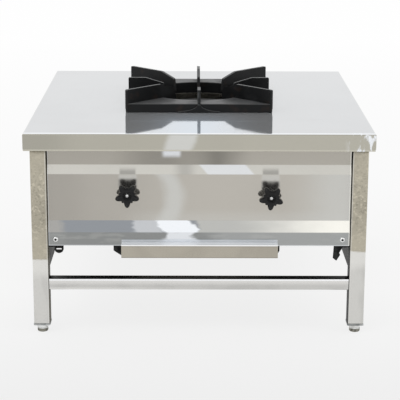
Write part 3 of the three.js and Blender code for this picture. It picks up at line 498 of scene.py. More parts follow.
def build_edge_wear(name):
    """A mask on outer edges, broken up by noise, for wear, and one in inner corners, for painted shade."""
    tree, inp, out = new_group(
        name, "ShaderNodeTree",
        [("Vector", "NodeSocketVector", None), ("Scale", "NodeSocketFloat", 60.0),
         ("Sharpness", "NodeSocketFloat", 0.5)],
        [("Edges", "NodeSocketFloat"), ("Corners", "NodeSocketFloat")],
    )
    shape = add(tree, "ShaderNodeNewGeometry")
    noise = add(tree, "ShaderNodeTexNoise",
                {"Vector": inp.outputs["Vector"], "Scale": inp.outputs["Scale"], "Detail": 4.0})
    edges = band(tree, shape.outputs["Pointiness"], 0.52, 0.62)
    broken = band(tree, noise.outputs["Fac"], 0.35, 0.6)
    both = add(tree, "ShaderNodeMath", {0: edges, 1: broken}, operation="MULTIPLY")
    sharp = add(tree, "ShaderNodeMath", {0: both.outputs[0], 1: inp.outputs["Sharpness"]},
                operation="MULTIPLY")
    corners = add(tree, "ShaderNodeMath", {0: 1.0, 1: band(tree, shape.outputs["Pointiness"], 0.40, 0.49)},
                  operation="SUBTRACT")
    tree.links.new(sharp.outputs[0], out.inputs["Edges"])
    tree.links.new(corners.outputs[0], out.inputs["Corners"])
    return tree


def build_casting(name):
    """The skin of sand-cast iron: fine grit over soft lumps."""
    tree, inp, out = new_group(
        name, "ShaderNodeTree",
        [("Vector", "NodeSocketVector", None), ("Grit", "NodeSocketFloat", 900.0)],
        [("Height", "NodeSocketFloat"), ("Patches", "NodeSocketFloat")],
    )
    grit = add(tree, "ShaderNodeTexNoise",
               {"Vector": inp.outputs["Vector"], "Scale": inp.outputs["Grit"], "Detail": 3.0, "Roughness": 0.6})
    lumps = add(tree, "ShaderNodeTexNoise",
                {"Vector": inp.outputs["Vector"], "Scale": 140.0, "Detail": 2.0})
    half = add(tree, "ShaderNodeMath", {0: lumps.outputs["Fac"], 1: 1.6}, operation="MULTIPLY")
    height = add(tree, "ShaderNodeMath", {0: grit.outputs["Fac"], 1: half.outputs[0]}, operation="ADD")
    patches = add(tree, "ShaderNodeTexNoise",
                  {"Vector": inp.outputs["Vector"], "Scale": 26.0, "Detail": 5.0, "Roughness": 0.62})
    tree.links.new(height.outputs[0], out.inputs["Height"])
    tree.links.new(band(tree, patches.outputs["Fac"], 0.5, 0.66), out.inputs["Patches"])
    return tree


class Finish:
    """A material in the making: a Principled shader, Object coordinates and the shared groups."""

    def __init__(self, name, metallic, roughness):
        self.material = bpy.data.materials.new(name + FINISHED)
        self.material.use_nodes = True
        self.tree = self.material.node_tree
        self.shader = self.tree.nodes["Principled BSDF"]
        self.shader.inputs["Metallic"].default_value = metallic
        self.shader.inputs["Roughness"].default_value = roughness
        self.place = add(self.tree, "ShaderNodeTexCoord").outputs["Object"]

    def group(self, name, build, values=None):
        """A shared group, fed with Object coordinates."""
        item = add(self.tree, "ShaderNodeGroup")
        item.node_tree = group_once(name, build)
        self.tree.links.new(self.place, item.inputs["Vector"])
        for key, value in (values or {}).items():
            item.inputs[key].default_value = value
        return item.outputs

    def math(self, operation, a, b):
        """Two values joined by one sum."""
        return add(self.tree, "ShaderNodeMath", {0: a, 1: b}, operation=operation).outputs[0]

    def mix(self, mask, a, b):
        """Colour a where the mask is 0 and b where it is 1."""
        item = add(self.tree, "ShaderNodeMix", data_type="RGBA")
        for key, value in ((0, mask), (6, a), (7, b)):
            if isinstance(value, bpy.types.NodeSocket):
                self.tree.links.new(value, item.inputs[key])
            else:
                item.inputs[key].default_value = value if key == 0 else tuple(value)
        return item.outputs[2]

    def between(self, mask, start, end):
        """A number that goes from start to end with the mask."""
        return add(
            self.tree, "ShaderNodeMapRange",
            {"Value": mask, "From Min": 0.0, "From Max": 1.0, "To Min": start, "To Max": end},
        ).outputs["Result"]

    def axis(self, letter):
        """One of the Object coordinates."""
        parts = add(self.tree, "ShaderNodeSeparateXYZ", {0: self.place})
        return parts.outputs[letter]

    def facing(self, letter):
        """How far the surface faces along one axis, from -1 to 1."""
        shape = add(self.tree, "ShaderNodeNewGeometry")
        return add(self.tree, "ShaderNodeSeparateXYZ", {0: shape.outputs["Normal"]}).outputs[letter]

    def window(self, value, start, end, soft):
        """A mask that is 1 from start to end and falls off over soft on both sides."""
        rise = band(self.tree, value, start - soft, start + soft)
        fall = band(self.tree, value, end + soft, end - soft)
        return self.math("MULTIPLY", rise, fall)

    def wavering(self, value, reach, scale, detail=3.0, stretch=(1.0, 1.0, 1.0)):
        """The value, shifted to and fro by noise of that reach."""
        shift = self.between(self.noise(scale, detail, stretch), -reach, reach)
        return self.math("ADD", value, shift)

    def noise(self, scale, detail=3.0, stretch=(1.0, 1.0, 1.0)):
        """A noise value, with its own stretch."""
        placed = add(self.tree, "ShaderNodeMapping", {"Vector": self.place, "Scale": stretch})
        return add(self.tree, "ShaderNodeTexNoise",
                   {"Vector": placed.outputs[0], "Scale": scale, "Detail": detail}).outputs["Fac"]

    def colour(self, value):
        """The base colour."""
        self.connect("Base Color", value)

    def rough(self, value):
        """The roughness."""
        self.connect("Roughness", value)

    def connect(self, socket, value):
        if isinstance(value, bpy.types.NodeSocket):
            self.tree.links.new(value, self.shader.inputs[socket])
        else:
            self.shader.inputs[socket].default_value = value

    def bump(self, height, distance, normal=None):
        """A relief of that height in metres, on top of another one if given."""
        item = add(self.tree, "ShaderNodeBump", {"Height": height, "Distance": distance, "Strength": 1.0})
        if normal is not None:
            self.tree.links.new(normal, item.inputs["Normal"])
        self.tree.links.new(item.outputs[0], self.shader.inputs["Normal"])
        return item.outputs[0]


def darker(value, share):
    """A colour at a share of its light."""
    return (value[0] * share, value[1] * share, value[2] * share, 1.0)


# ---------------------------------------------------------------------------------------------
# Finishes
# ---------------------------------------------------------------------------------------------


def worktop_finish(look):
    """Smooth stainless with painted reflections: cool on the flat in front of the grate, warmer and darker on the
    skirts, a painted highlight along the fold; scuffed at a corner.
    """
    made = Finish("worktop_steel", 0.68, 0.07)
    smears = made.group("smears_and_scratches", build_smears, {"Scale": 5.0, "Scratches": 0.3})
    grain = made.group("sheet_grain", build_grain, {"Stretch": (0.02, 1.0, 1.0), "Scale": 1400.0})
    waves = made.group("sheet_waves", build_waves, {"Scale": 3.2})
    top, bottom = high("top_sheet").z, low("top_sheet").z
    across, up = made.axis("X"), made.axis("Z")
    flat = made.mix(made.math("MULTIPLY", smears["Clouds"], 0.5), look.worktop, darker(look.worktop, 0.95))
    depth, edge = made.axis("Y"), low("top_sheet").y
    swayed = made.wavering(across, 0.02, 14.0)
    # Painted reflection: a bluish place where the worktop mirrors the grate.
    near = made.math("MULTIPLY", band(made.tree, depth, edge + 0.30, edge + 0.10), made.window(swayed, -0.09, 0.07, 0.08))
    flat = made.mix(near, flat, look.worktop_blue_reflection)
    made.connect("Metallic", made.between(near, 0.66, 0.52))
    # Painted reflection on the skirts: darker to the left, lighter right of the middle.
    darker_left = made.math("MULTIPLY", band(made.tree, swayed, -0.24, -0.34), 0.8)
    side = made.mix(darker_left, look.fascia, darker(look.fascia, 0.84))
    side = made.mix(made.math("MULTIPLY", band(made.tree, swayed, 0.04, 0.12), 0.4), side, darker(look.fascia, 1.12))
    # Painted reflection: a pale streak on the front skirt that slants with height.
    slid = made.math("ADD", swayed, made.math("MULTIPLY", made.math("SUBTRACT", top, up), 0.4))
    front = band(made.tree, depth, edge + 0.03, edge + 0.002)
    side = made.mix(made.math("MULTIPLY", made.window(slid, -0.064, -0.008, 0.009), front), side, look.panel_pale_reflection)
    # Painted shade: a dark line just under the fold.
    shade_under_fold = made.window(up, top - 0.0026, top - 0.0008, 0.0006)
    side = made.mix(made.math("MULTIPLY", shade_under_fold, 0.6), side, darker(look.fascia, 0.60))
    # Painted highlight along the hem of the skirts.
    hem = band(made.tree, up, bottom + 0.0044, bottom + 0.0030)
    side = made.mix(made.math("MULTIPLY", hem, 0.8), side, darker(look.fascia, 1.30))
    # Painted highlight: the fold's bright strip along the front of the flat.
    rim = made.window(made.wavering(depth, 0.0015, 20.0), edge - 0.01, edge + 0.0115, 0.0008)
    flat = made.mix(made.math("MULTIPLY", rim, 0.9), flat, look.panel_white)
    toned = made.mix(band(made.tree, up, top - 0.0009, top - 0.0003), side, flat)
    right = band(made.tree, across, high("top_sheet").x - 0.070, high("top_sheet").x - 0.03)
    streaks = band(made.tree, made.noise(75.0, 5.0, (1.0, 1.0, 0.35)), 0.52, 0.60)
    scuffs = made.math("MULTIPLY", made.math("MULTIPLY", right, front), streaks)
    made.colour(made.mix(scuffs, toned, look.panel_white))
    rough = made.between(smears["Clouds"], 0.05, 0.09)
    rough = made.math("ADD", rough, made.math("MULTIPLY", scuffs, 0.4))
    made.rough(made.math("ADD", rough, made.math("MULTIPLY", smears["Marks"], 0.06)))
    made.bump(grain["Height"], 0.000002, made.bump(waves["Height"], 0.0007))
    return made.material


def facet_bends():
    """The heights of the front panel's four bends, from the top down."""
    upper_bend = high("front_panel").z - PLAIN_FACET
    main_top = upper_bend - UPPER_SLOPE
    lower_bend = main_top - MAIN_FACET
    return upper_bend, main_top, lower_bend, lower_bend - LOWER_SLOPE


def panel_finish(look):
    """Polished sheet with painted reflections and shade: each facet in its own painted tone, with a pale cloudy
    painted column and cool painted reflections near its foot.
    """
    made = Finish("panel_steel", 0.86, 0.05)
    smears = made.group("smears_and_scratches", build_smears, {"Scale": 6.5, "Scratches": 0.3})
    grain = made.group("sheet_grain", build_grain, {"Stretch": (0.02, 1.0, 1.0), "Scale": 1500.0})
    waves = made.group("sheet_waves", build_waves, {"Scale": 4.5})
    upper_bend, main_top, lower_bend, foot_top = facet_bends()
    across, up = made.axis("X"), made.axis("Z")
    swayed = made.wavering(across, 0.018, 12.0)
    to_right = band(made.tree, swayed, -0.30, 0.30)

    # Painted shade and reflections on the upper facet: lighter to the right, two darker places and a painted glint.
    shade = made.mix(to_right, look.panel_shade, darker(look.panel_shade, 1.08))
    dim = made.window(swayed, -0.150, -0.020, 0.055)
    shade = made.mix(made.math("MULTIPLY", dim, 0.8), shade, darker(look.panel_shade, 0.66))
    dark = made.window(swayed, 0.000, 0.075, 0.045)
    shade = made.mix(made.math("MULTIPLY", dark, 0.95), shade, darker(look.panel_shade, 0.56))
    glint = made.math("MULTIPLY", made.window(swayed, -0.082, -0.040, 0.006), lifted(made, up, upper_bend))
    shade = made.mix(glint, shade, darker(look.panel_white, 0.90))

    # Painted light on the upper slope, with a pale painted reflection, a darker place and the knobs' dark painted
    # reflections.
    slope = made.mix(made.math("MULTIPLY", smears["Clouds"], 0.35), look.panel_bright, darker(look.panel_bright, 0.88))
    leaning = made.math("ADD", across, made.math("MULTIPLY", up, 0.9))
    patch = made.window(leaning, 0.018 + 0.9 * main_top, 0.118 + 0.9 * main_top, 0.004)
    slope = made.mix(made.math("MULTIPLY", patch, 0.75), slope, darker(look.panel_white, 0.86))
    slope = made.mix(made.window(swayed, -0.050, -0.015, 0.015), slope, darker(look.panel_bright, 0.76))
    for side in SIDES:
        at = middle("knob_" + side).x
        mirrored = made.math("MULTIPLY", made.window(across, at - 0.017, at + 0.017, 0.003),
                             band(made.tree, up, main_top + 0.017, main_top + 0.004))
        slope = made.mix(made.math("MULTIPLY", mirrored, 0.9), slope, darker(look.panel_bright, 0.56))

    # Painted reflections on the main facet: a pale bowed column, darker far left, lighter and paler to the right, pale
    # near its foot.
    half = made.math("SUBTRACT", up, 0.5 * (main_top + lower_bend))
    bow = made.math("MULTIPLY", made.math("POWER", half, 2.0), 9.0)
    column = made.window(made.math("ADD", swayed, bow), -0.068, -0.032, 0.014)
    cloud = band(made.tree, made.noise(3.4, 2.0, (1.0, 1.0, 1.8)), 0.38, 0.62)
    main = made.mix(made.math("MULTIPLY", cloud, 0.3), look.panel, darker(look.panel, 1.10))
    main = made.mix(band(made.tree, swayed, -0.22, -0.30), main, darker(look.panel, 0.93))
    main = made.mix(band(made.tree, swayed, -0.26, 0.04), main, darker(look.panel, 1.19))
    main = made.mix(made.math("MULTIPLY", band(made.tree, swayed, 0.18, 0.30), 0.75), main, look.panel_pale_reflection)
    bright_foot = made.math("MULTIPLY", band(made.tree, half, -0.020, -0.050), band(made.tree, swayed, -0.18, -0.08))
    main = made.mix(made.math("MULTIPLY", bright_foot, 0.35), main, look.panel_pale_reflection)
    main = made.mix(made.math("MULTIPLY", column, 0.85), main, look.panel_pale_reflection)

    # Painted reflection of each knob above it: pale, with a dark band; the roughness there is raised to blur it.
    blurred = 0.0
    for side in SIDES:
        at = middle("knob_" + side)
        knob_reflection = made.math("MULTIPLY", made.window(across, at.x - 0.019, at.x + 0.019, 0.004),
                              made.window(up, at.z + 0.012, main_top, 0.006))
        main = made.mix(made.math("MULTIPLY", knob_reflection, 0.6), main, look.panel_pale_reflection)
        shaded = made.math("MULTIPLY", knob_reflection, band(made.tree, up, at.z + 0.036, at.z + 0.028))
        main = made.mix(made.math("MULTIPLY", shaded, 0.7), main, darker(look.panel, 0.15))
        blurred = made.math("ADD", knob_reflection, blurred)

    # Painted reflections on the lower slope: blue-grey to the left, warm white to the right, with white windows.
    ragged = made.wavering(across, 0.026, 24.0, 4.0, (1.0, 1.0, 2.5))
    low_slope = made.mix(band(made.tree, ragged, -0.012, 0.004), look.panel_cool_reflection, darker(look.panel_pale_reflection, 0.76))
    low_slope = made.mix(band(made.tree, ragged, 0.06, 0.32), low_slope, look.panel_warm_reflection)
    low_slope = made.mix(made.window(ragged, -0.142, -0.080, 0.008), low_slope, darker(look.panel_white, 0.62))
    slid = made.math("ADD", ragged, made.math("MULTIPLY", made.math("SUBTRACT", up, lower_bend), 0.8))
    low_slope = made.mix(made.window(slid, -0.096, -0.021, 0.006), low_slope, look.panel_white)
    far_left = band(made.tree, ragged, -0.285, -0.310)
    low_slope = made.mix(made.math("MULTIPLY", far_left, 0.6), low_slope, look.panel)
    # Painted reflections on the lowest facet: darker to the left, a white window and pale streaks.
    foot = made.mix(band(made.tree, ragged, -0.01, 0.07), darker(look.panel_foot, 0.74), look.panel_foot)
    foot = made.mix(made.math("MULTIPLY", far_left, 0.7), foot, darker(look.panel_foot, 0.86))
    foot = made.mix(made.window(ragged, -0.074, -0.010, 0.008), foot, darker(look.panel_white, 0.95))
    veil = band(made.tree, made.noise(20.0, 4.0, (1.0, 1.0, 5.0)), 0.52, 0.66)
    foot = made.mix(made.math("MULTIPLY", veil, 0.2), foot, darker(look.panel_pale_reflection, 0.9))

    tone = made.mix(band(made.tree, up, upper_bend - 0.001, upper_bend + 0.001), slope, shade)
    tone = made.mix(band(made.tree, up, main_top + 0.001, main_top - 0.001), tone, main)
    tone = made.mix(band(made.tree, up, lower_bend + 0.001, lower_bend - 0.001), tone, low_slope)
    tone = made.mix(band(made.tree, up, foot_top + 0.001, foot_top - 0.001), tone, foot)
    # Painted highlights: warm along the panel's right edge, white along its left edge.
    edge = band(made.tree, across, high("front_panel").x - 0.003, high("front_panel").x - 0.0015)
    left_edge_highlight = band(made.tree, across, low("front_panel").x + 0.0025, low("front_panel").x + 0.001)
    tone = made.mix(made.math("MULTIPLY", left_edge_highlight, 0.3), tone, look.panel_white)
    # Painted reflection of the drip tray's handle on the panel just above it.
    tray_handle_reflection = made.window(across, low("drip_tray").x, high("drip_tray").x, 0.0012)
    tray_handle_reflection = made.math("MULTIPLY", tray_handle_reflection, band(made.tree, up, high("drip_tray").z + 0.0062, high("drip_tray").z + 0.0042))
    tray_handle_reflection = made.math("MULTIPLY", tray_handle_reflection, made.between(made.noise(9.0, 2.0), 0.35, 1.0))
    tone = made.mix(tray_handle_reflection, tone, darker(look.panel_white, 0.95))
    # Painted highlight along the panel's lower edge.
    hem = band(made.tree, up, low("front_panel").z + 0.0022, low("front_panel").z + 0.0012)
    tone = made.mix(made.math("MULTIPLY", hem, 0.55), tone, look.panel_white)
    made.colour(made.mix(made.math("MULTIPLY", edge, 0.8), tone, look.panel_warm_reflection))
    rough = made.between(smears["Clouds"], 0.035, 0.07)
    rough = made.math("ADD", rough, made.math("MULTIPLY", blurred, 0.14))
    made.rough(made.math("ADD", rough, made.math("MULTIPLY", smears["Marks"], 0.06)))
    made.bump(grain["Height"], 0.000002, made.bump(waves["Height"], 0.0012))
    return made.material


def lifted(made, up, bend):
    """A mask over the middle of the panel's upper facet."""
    return made.window(up, bend + 0.018, bend + 0.046, 0.006)


def side_panel_finish(look):
    """Duller sheet of the side and rear panels, with painted shade on the faces that look inwards."""
    made = Finish("side_panel_steel", 0.9, 0.2)
    smears = made.group("smears_and_scratches", build_smears, {"Scale": 6.0, "Scratches": 0.5})
    grain = made.group("sheet_grain", build_grain, {"Stretch": (1.0, 0.02, 1.0), "Scale": 1400.0})
    waves = made.group("sheet_waves", build_waves, {"Scale": 4.0})
    tone = made.mix(made.math("MULTIPLY", smears["Clouds"], 0.5), look.side_panel, darker(look.side_panel, 0.84))
    # Painted shade on the faces that look inwards.
    towards = made.math("MULTIPLY", made.axis("X"), made.facing("X"))
    inner = band(made.tree, towards, -0.15, -0.25)
    dirt_and_shade = made.mix(made.math("MULTIPLY", smears["Clouds"], 0.6), look.inside, darker(look.inside, 2.6))
    made.colour(made.mix(inner, tone, dirt_and_shade))
    rough = made.between(smears["Clouds"], 0.14, 0.26)
    made.rough(made.math("ADD", rough, made.math("MULTIPLY", inner, 0.35)))
    made.connect("Metallic", made.between(inner, 0.9, 0.4))
    made.bump(grain["Height"], 0.000005, made.bump(waves["Height"], 0.0012))
    return made.material


def leg_finish(look):
    """Bright tube that turns beige and spotted in its upper part, with painted shade on the faces turned inwards and a
    painted highlight beside them.
    """
    made = Finish("leg_steel", 0.85, 0.16)
    smears = made.group("smears_and_scratches", build_smears, {"Scale": 12.0, "Scratches": 0.5})
    grain = made.group("sheet_grain", build_grain, {"Stretch": (1.0, 1.0, 0.02), "Scale": 1300.0})
    right_side = band(made.tree, made.axis("X"), -0.01, 0.01)
    raised = made.math("MULTIPLY", right_side, LEG_TONE_STEP)
    ragged = made.math("SUBTRACT", made.wavering(made.axis("Z"), 0.008, 45.0), raised)
    upper = band(made.tree, ragged, LEG_TONE_HEIGHT - 0.003, LEG_TONE_HEIGHT + 0.003)
    tide = made.window(ragged, LEG_TONE_HEIGHT, LEG_TONE_HEIGHT + 0.003, 0.002)
    spots = band(made.tree, made.noise(210.0, 4.0), 0.53, 0.62)
    blots = band(made.tree, made.noise(60.0, 4.0, (1.0, 1.0, 0.6)), 0.46, 0.62)
    pale = band(made.tree, made.noise(130.0, 5.0), 0.55, 0.64)
    aged = made.between(band(made.tree, made.axis("Z"), 0.42, 0.30), 0.12, 0.6)
    beige = made.mix(made.math("MULTIPLY", blots, 0.5), look.leg_beige, darker(look.leg_beige, 0.84))
    beige = made.mix(made.math("MULTIPLY", spots, aged), beige, darker(look.leg_beige, 0.60))
    beige = made.mix(made.math("MULTIPLY", pale, aged), beige, darker(look.leg_beige, 1.45))
    beige = made.mix(made.math("MULTIPLY", tide, 0.5), beige, darker(look.leg_beige, 0.45))
    streaks = band(made.tree, made.noise(26.0, 3.0, (1.0, 1.0, 0.3)), 0.48, 0.66)
    light = made.mix(made.math("MULTIPLY", streaks, 0.6), look.leg_light, darker(look.leg_light, 0.84))
    rise = made.math("MULTIPLY", band(made.tree, ragged, LEG_TONE_HEIGHT + 0.10, LEG_TONE_HEIGHT + 0.01), 0.6)
    beige = made.mix(rise, beige, darker(look.leg_beige, 1.28))
    fresh = made.math("MULTIPLY", band(made.tree, ragged, LEG_TONE_HEIGHT - 0.05, LEG_TONE_HEIGHT - 0.02), 0.8)
    light = made.mix(fresh, light, darker(look.leg_light, 1.22))
    tone = made.mix(upper, light, beige)
    reach = made.math("ABSOLUTE", made.axis("X"), 0.0)
    # Painted shade on the faces turned inwards, and a painted highlight on the edge beside them.
    inner = band(made.tree, reach, low("leg_front_right").x + 0.0016, low("leg_front_right").x + 0.0008)
    rim = made.window(reach, low("leg_front_right").x + 0.0018, low("leg_front_right").x + 0.0032, 0.0006)
    tone = made.mix(made.math("MULTIPLY", rim, 0.5), tone, darker(look.leg_light, 1.2))
    made.colour(made.mix(inner, tone, made.mix(right_side, look.gap, darker(look.inside, 0.4))))
    made.connect("Metallic", made.between(made.math("MULTIPLY", inner, right_side), 0.85, 0.1))
    rough = made.between(upper, 0.12, 0.28)
    made.rough(made.math("ADD", rough, made.math("MULTIPLY", inner, 0.5)))
    under = made.bump(made.math("MULTIPLY", spots, upper), 0.00005)
    made.bump(grain["Height"], 0.000005, under)
    return made.material


def stretcher_finish(look):
    """Bright square tube with a lengthwise grain, painted light on its upper part, a painted highlight along the upper
    edge and painted shade on the top.
    """
    made = Finish("stretcher_steel", 0.85, 0.18)
    smears = made.group("smears_and_scratches", build_smears, {"Scale": 14.0, "Scratches": 0.7})
    grain = made.group("sheet_grain", build_grain, {"Stretch": (0.02, 1.0, 1.0), "Scale": 1300.0})
    up, top = made.axis("Z"), high("stretcher_front").z
    dull = made.math("MULTIPLY", smears["Clouds"], 0.6)
    tone = made.mix(dull, look.stretcher, darker(look.stretcher, 0.84))
    # Painted light: lighter bands on the upper part, and on the lower part towards the left.
    upper = made.math("MULTIPLY", band(made.tree, up, top - 0.017, top - 0.006), 0.8)
    tone = made.mix(upper, tone, darker(look.stretcher, 1.30))
    lower = made.math("MULTIPLY", band(made.tree, up, top - 0.017, top - 0.024), band(made.tree, made.axis("X"), 0.10, -0.30))
    tone = made.mix(lower, tone, darker(look.stretcher, 1.25))
    # Painted highlight along the upper edge, and painted shade on the top face.
    tone = made.mix(band(made.tree, up, top - 0.0052, top - 0.0034), tone, darker(look.panel_white, 1.15))
    dirt_and_shade = band(made.tree, up, top - 0.0012, top - 0.0006)
    made.colour(made.mix(dirt_and_shade, tone, look.stretcher_top_shade))
    rough = made.math("ADD", made.between(smears["Clouds"], 0.14, 0.24), made.math("MULTIPLY", dirt_and_shade, 0.4))
    made.rough(rough)
    made.bump(grain["Height"], 0.000006)
    return made.material


def bar_finish(look):
    """Plain hot-rolled bar: dull, faintly blotched, bright where edges are rubbed."""
    made = Finish("frame_steel", 0.9, 0.42)
    smears = made.group("smears_and_scratches", build_smears, {"Scale": 24.0, "Scratches": 0.6})
    wear_and_shade = made.group("edge_wear", build_edge_wear, {"Scale": 90.0, "Sharpness": 0.8})
    tone = made.mix(smears["Clouds"], look.bar, darker(look.bar, 0.70))
    made.colour(made.mix(wear_and_shade["Edges"], tone, look.plated))
    made.rough(made.between(smears["Clouds"], 0.34, 0.52))
    made.bump(made.noise(700.0, 3.0), 0.00004)
    return made.material


def tray_finish(look):
    """Folded sheet: warm grey on its upright faces, with painted light on its flats, a painted highlight and painted
    shade near the top of the upright faces, and painted shade at the bottom fold.
    """
    made = Finish("tray_steel", 0.85, 0.14)
    smears = made.group("smears_and_scratches", build_smears, {"Scale": 10.0, "Scratches": 0.5})
    grain = made.group("sheet_grain", build_grain, {"Stretch": (0.02, 1.0, 1.0), "Scale": 1400.0})
    waves = made.group("sheet_waves", build_waves, {"Scale": 6.0})
    top, bottom = high("drip_tray").z, low("drip_tray").z
    up = made.axis("Z")
    tone = made.mix(made.math("MULTIPLY", smears["Clouds"], 0.6), look.tray, darker(look.tray, 0.86))
    # Painted shade along the bottom fold.
    fold = made.window(up, bottom, bottom + 0.0018, 0.0006)
    tone = made.mix(made.math("MULTIPLY", fold, 0.7), tone, darker(look.tray, 0.55))
    # Painted light on faces that look up.
    flat = band(made.tree, made.facing("Z"), 0.5, 0.8)
    tone = made.mix(flat, tone, look.tray_lit_flats)
    # Painted highlight along the top of the upright faces, with painted shade just below it.
    brink_highlight = made.math("MULTIPLY", band(made.tree, up, top - 0.0030, top - 0.0020), made.math("SUBTRACT", 1.0, flat))
    tone = made.mix(brink_highlight, tone, darker(look.panel_white, 1.2))
    below = made.window(up, top - 0.0046, top - 0.0034, 0.0006)
    made.colour(made.mix(made.math("MULTIPLY", below, 0.35), tone, darker(look.tray, 0.5)))
    made.connect("Metallic", made.between(flat, 0.85, 0.15))
    made.rough(made.between(smears["Clouds"], 0.10, 0.18))
    made.bump(grain["Height"], 0.000004, made.bump(waves["Height"], 0.0006))
    return made.material


def shadow_black_finish(look):
    """Near-black sheet, painted shade for the brackets and runners that sit in shadow, with rubbed edges."""
    made = Finish("black_steel", 0.2, 0.45)
    smears = made.group("smears_and_scratches", build_smears, {"Scale": 40.0, "Scratches": 0.8})
    wear_and_shade = made.group("edge_wear", build_edge_wear, {"Scale": 120.0, "Sharpness": 0.5})
    tone = made.mix(smears["Clouds"], look.shadow_black, darker(look.shadow_black, 1.7))
    made.colour(made.mix(made.math("MULTIPLY", wear_and_shade["Edges"], 0.4), tone, look.bar))
    made.shader.inputs["Specular IOR Level"].default_value = 0.1
    made.connect("Metallic", 0.0)
    made.rough(made.between(smears["Clouds"], 0.45, 0.6))
    made.bump(made.noise(900.0, 3.0), 0.00003)
    return made.material


def cast_finish(name, look, base):
    """Sand-cast iron: grit, soft lumps, painted light on the upper faces, worn edges and a little rust."""
    made = Finish(name, 0.0, 0.5)
    skin = made.group("cast_skin", build_casting, {"Grit": 900.0})
    wear_and_shade = made.group("edge_wear", build_edge_wear, {"Scale": 45.0, "Sharpness": 0.7})
    tone = made.mix(skin["Patches"], base, darker(base, 1.6))
    # Painted light on faces that look up, broken up by noise.
    upper = made.math("MULTIPLY", band(made.tree, made.facing("Z"), 0.35, 0.85),
                      made.between(made.noise(30.0, 3.0), 0.35, 1.0))
    tone = made.mix(upper, tone, look.iron_lit_top)
    rusty = band(made.tree, made.noise(34.0, 6.0), 0.58, 0.70)
    tone = made.mix(made.math("MULTIPLY", rusty, 0.10), tone, look.rust)
    tone = made.mix(made.math("MULTIPLY", wear_and_shade["Edges"], 0.5), tone, darker(look.bar, 0.8))
    made.colour(tone)
    made.shader.inputs["Specular IOR Level"].default_value = 0.2
    made.rough(made.math("SUBTRACT", made.between(skin["Patches"], 0.40, 0.58),
                         made.math("MULTIPLY", wear_and_shade["Edges"], 0.1)))
    made.bump(skin["Height"], 0.00010)
    return made.material


def iron_finish(look):
    """Black iron of the grate and the mixing tubes."""
    return cast_finish("cast_iron", look, look.iron)


def burner_finish(look):
    """Paler iron of the burner, which shows dark grey behind the fins."""
    return cast_finish("burner_iron", look, look.burner)


def brass_finish(look):
    """Turned brass, a little tarnished."""
    made = Finish("brass", 1.0, 0.28)
    smears = made.group("smears_and_scratches", build_smears, {"Scale": 50.0, "Scratches": 0.4})
    made.colour(made.mix(smears["Clouds"], look.brass, darker(look.brass, 0.66)))
    made.rough(made.between(smears["Clouds"], 0.22, 0.42))
    made.bump(made.noise(1500.0, 2.0, (1.0, 0.1, 1.0)), 0.00001)
    return made.material


def knob_finish(look):
    """Moulded thermoset: glossy black with a fine mould texture and rubbed ridges."""
    made = Finish("black_plastic", 0.0, 0.3)
    wear_and_shade = made.group("edge_wear", build_edge_wear, {"Scale": 160.0, "Sharpness": 0.5})
    smears = made.group("smears_and_scratches", build_smears, {"Scale": 60.0, "Scratches": 0.9})
    tone = made.mix(made.math("MULTIPLY", smears["Clouds"], 0.4), look.knob, darker(look.knob, 1.6))
    tone = made.mix(made.math("MULTIPLY", wear_and_shade["Edges"], 0.35), tone, darker(look.bar, 0.3))
    made.colour(tone)
    made.shader.inputs["Specular IOR Level"].default_value = 0.28
    made.rough(made.math("ADD", made.between(smears["Clouds"], 0.24, 0.36),
                         made.math("MULTIPLY", smears["Marks"], 0.1)))
    made.bump(made.noise(1600.0, 2.0), 0.00002)
    return made.material


def plated_finish(look):
    """Plated steel, bright, with painted shade in its recesses."""
    made = Finish("bright_steel", 0.9, 0.14)
    smears = made.group("smears_and_scratches", build_smears, {"Scale": 90.0, "Scratches": 0.5})
    wear_and_shade = made.group("edge_wear", build_edge_wear, {"Scale": 200.0, "Sharpness": 0.2})
    tone = made.mix(made.math("MULTIPLY", smears["Clouds"], 0.3), look.plated, darker(look.plated, 0.78))
    # Painted shade in inner corners.
    tone = made.mix(wear_and_shade["Corners"], tone, look.inside)
    # Painted shade in the middle of each panel screw's head, where its cross recess is.
    seat = middle("panel_screw_right")
    beside = made.math("SUBTRACT", made.math("ABSOLUTE", made.axis("X"), 0.0), seat.x)
    above = made.math("SUBTRACT", made.axis("Z"), seat.z)
    away = made.math("ADD", made.math("POWER", beside, 2.0), made.math("POWER", above, 2.0))
    made.colour(made.mix(band(made.tree, away, 7.5 * MM * MM, 4.5 * MM * MM), tone, look.inside))
    made.rough(made.between(smears["Clouds"], 0.10, 0.2))
    made.bump(made.noise(1800.0, 2.0), 0.000008)
    return made.material


def foot_finish(look):
    """Plated steel that stands on a kitchen floor: dirty, darker towards the disc, with painted shade in inner
    corners.
    """
    made = Finish("foot_steel", 0.75, 0.3)
    smears = made.group("smears_and_scratches", build_smears, {"Scale": 90.0, "Scratches": 0.6})
    wear_and_shade = made.group("edge_wear", build_edge_wear, {"Scale": 200.0, "Sharpness": 0.5})
    blots = band(made.tree, made.noise(190.0, 4.0, (1.0, 1.0, 0.5)), 0.44, 0.6)
    low_part = band(made.tree, made.wavering(made.axis("Z"), 0.002, 200.0), 0.0085, 0.0065)
    tone = made.mix(made.math("MULTIPLY", smears["Clouds"], 0.5), look.plated, look.foot)
    dirt_and_shade = made.mix(made.math("MULTIPLY", blots, 0.8), look.foot, darker(look.foot, 0.35))
    tone = made.mix(low_part, tone, dirt_and_shade)
    # Painted shade in inner corners.
    made.colour(made.mix(wear_and_shade["Corners"], tone, look.inside))
    made.rough(made.between(low_part, 0.2, 0.42))
    made.bump(made.noise(700.0, 3.0), 0.00003)
    return made.material


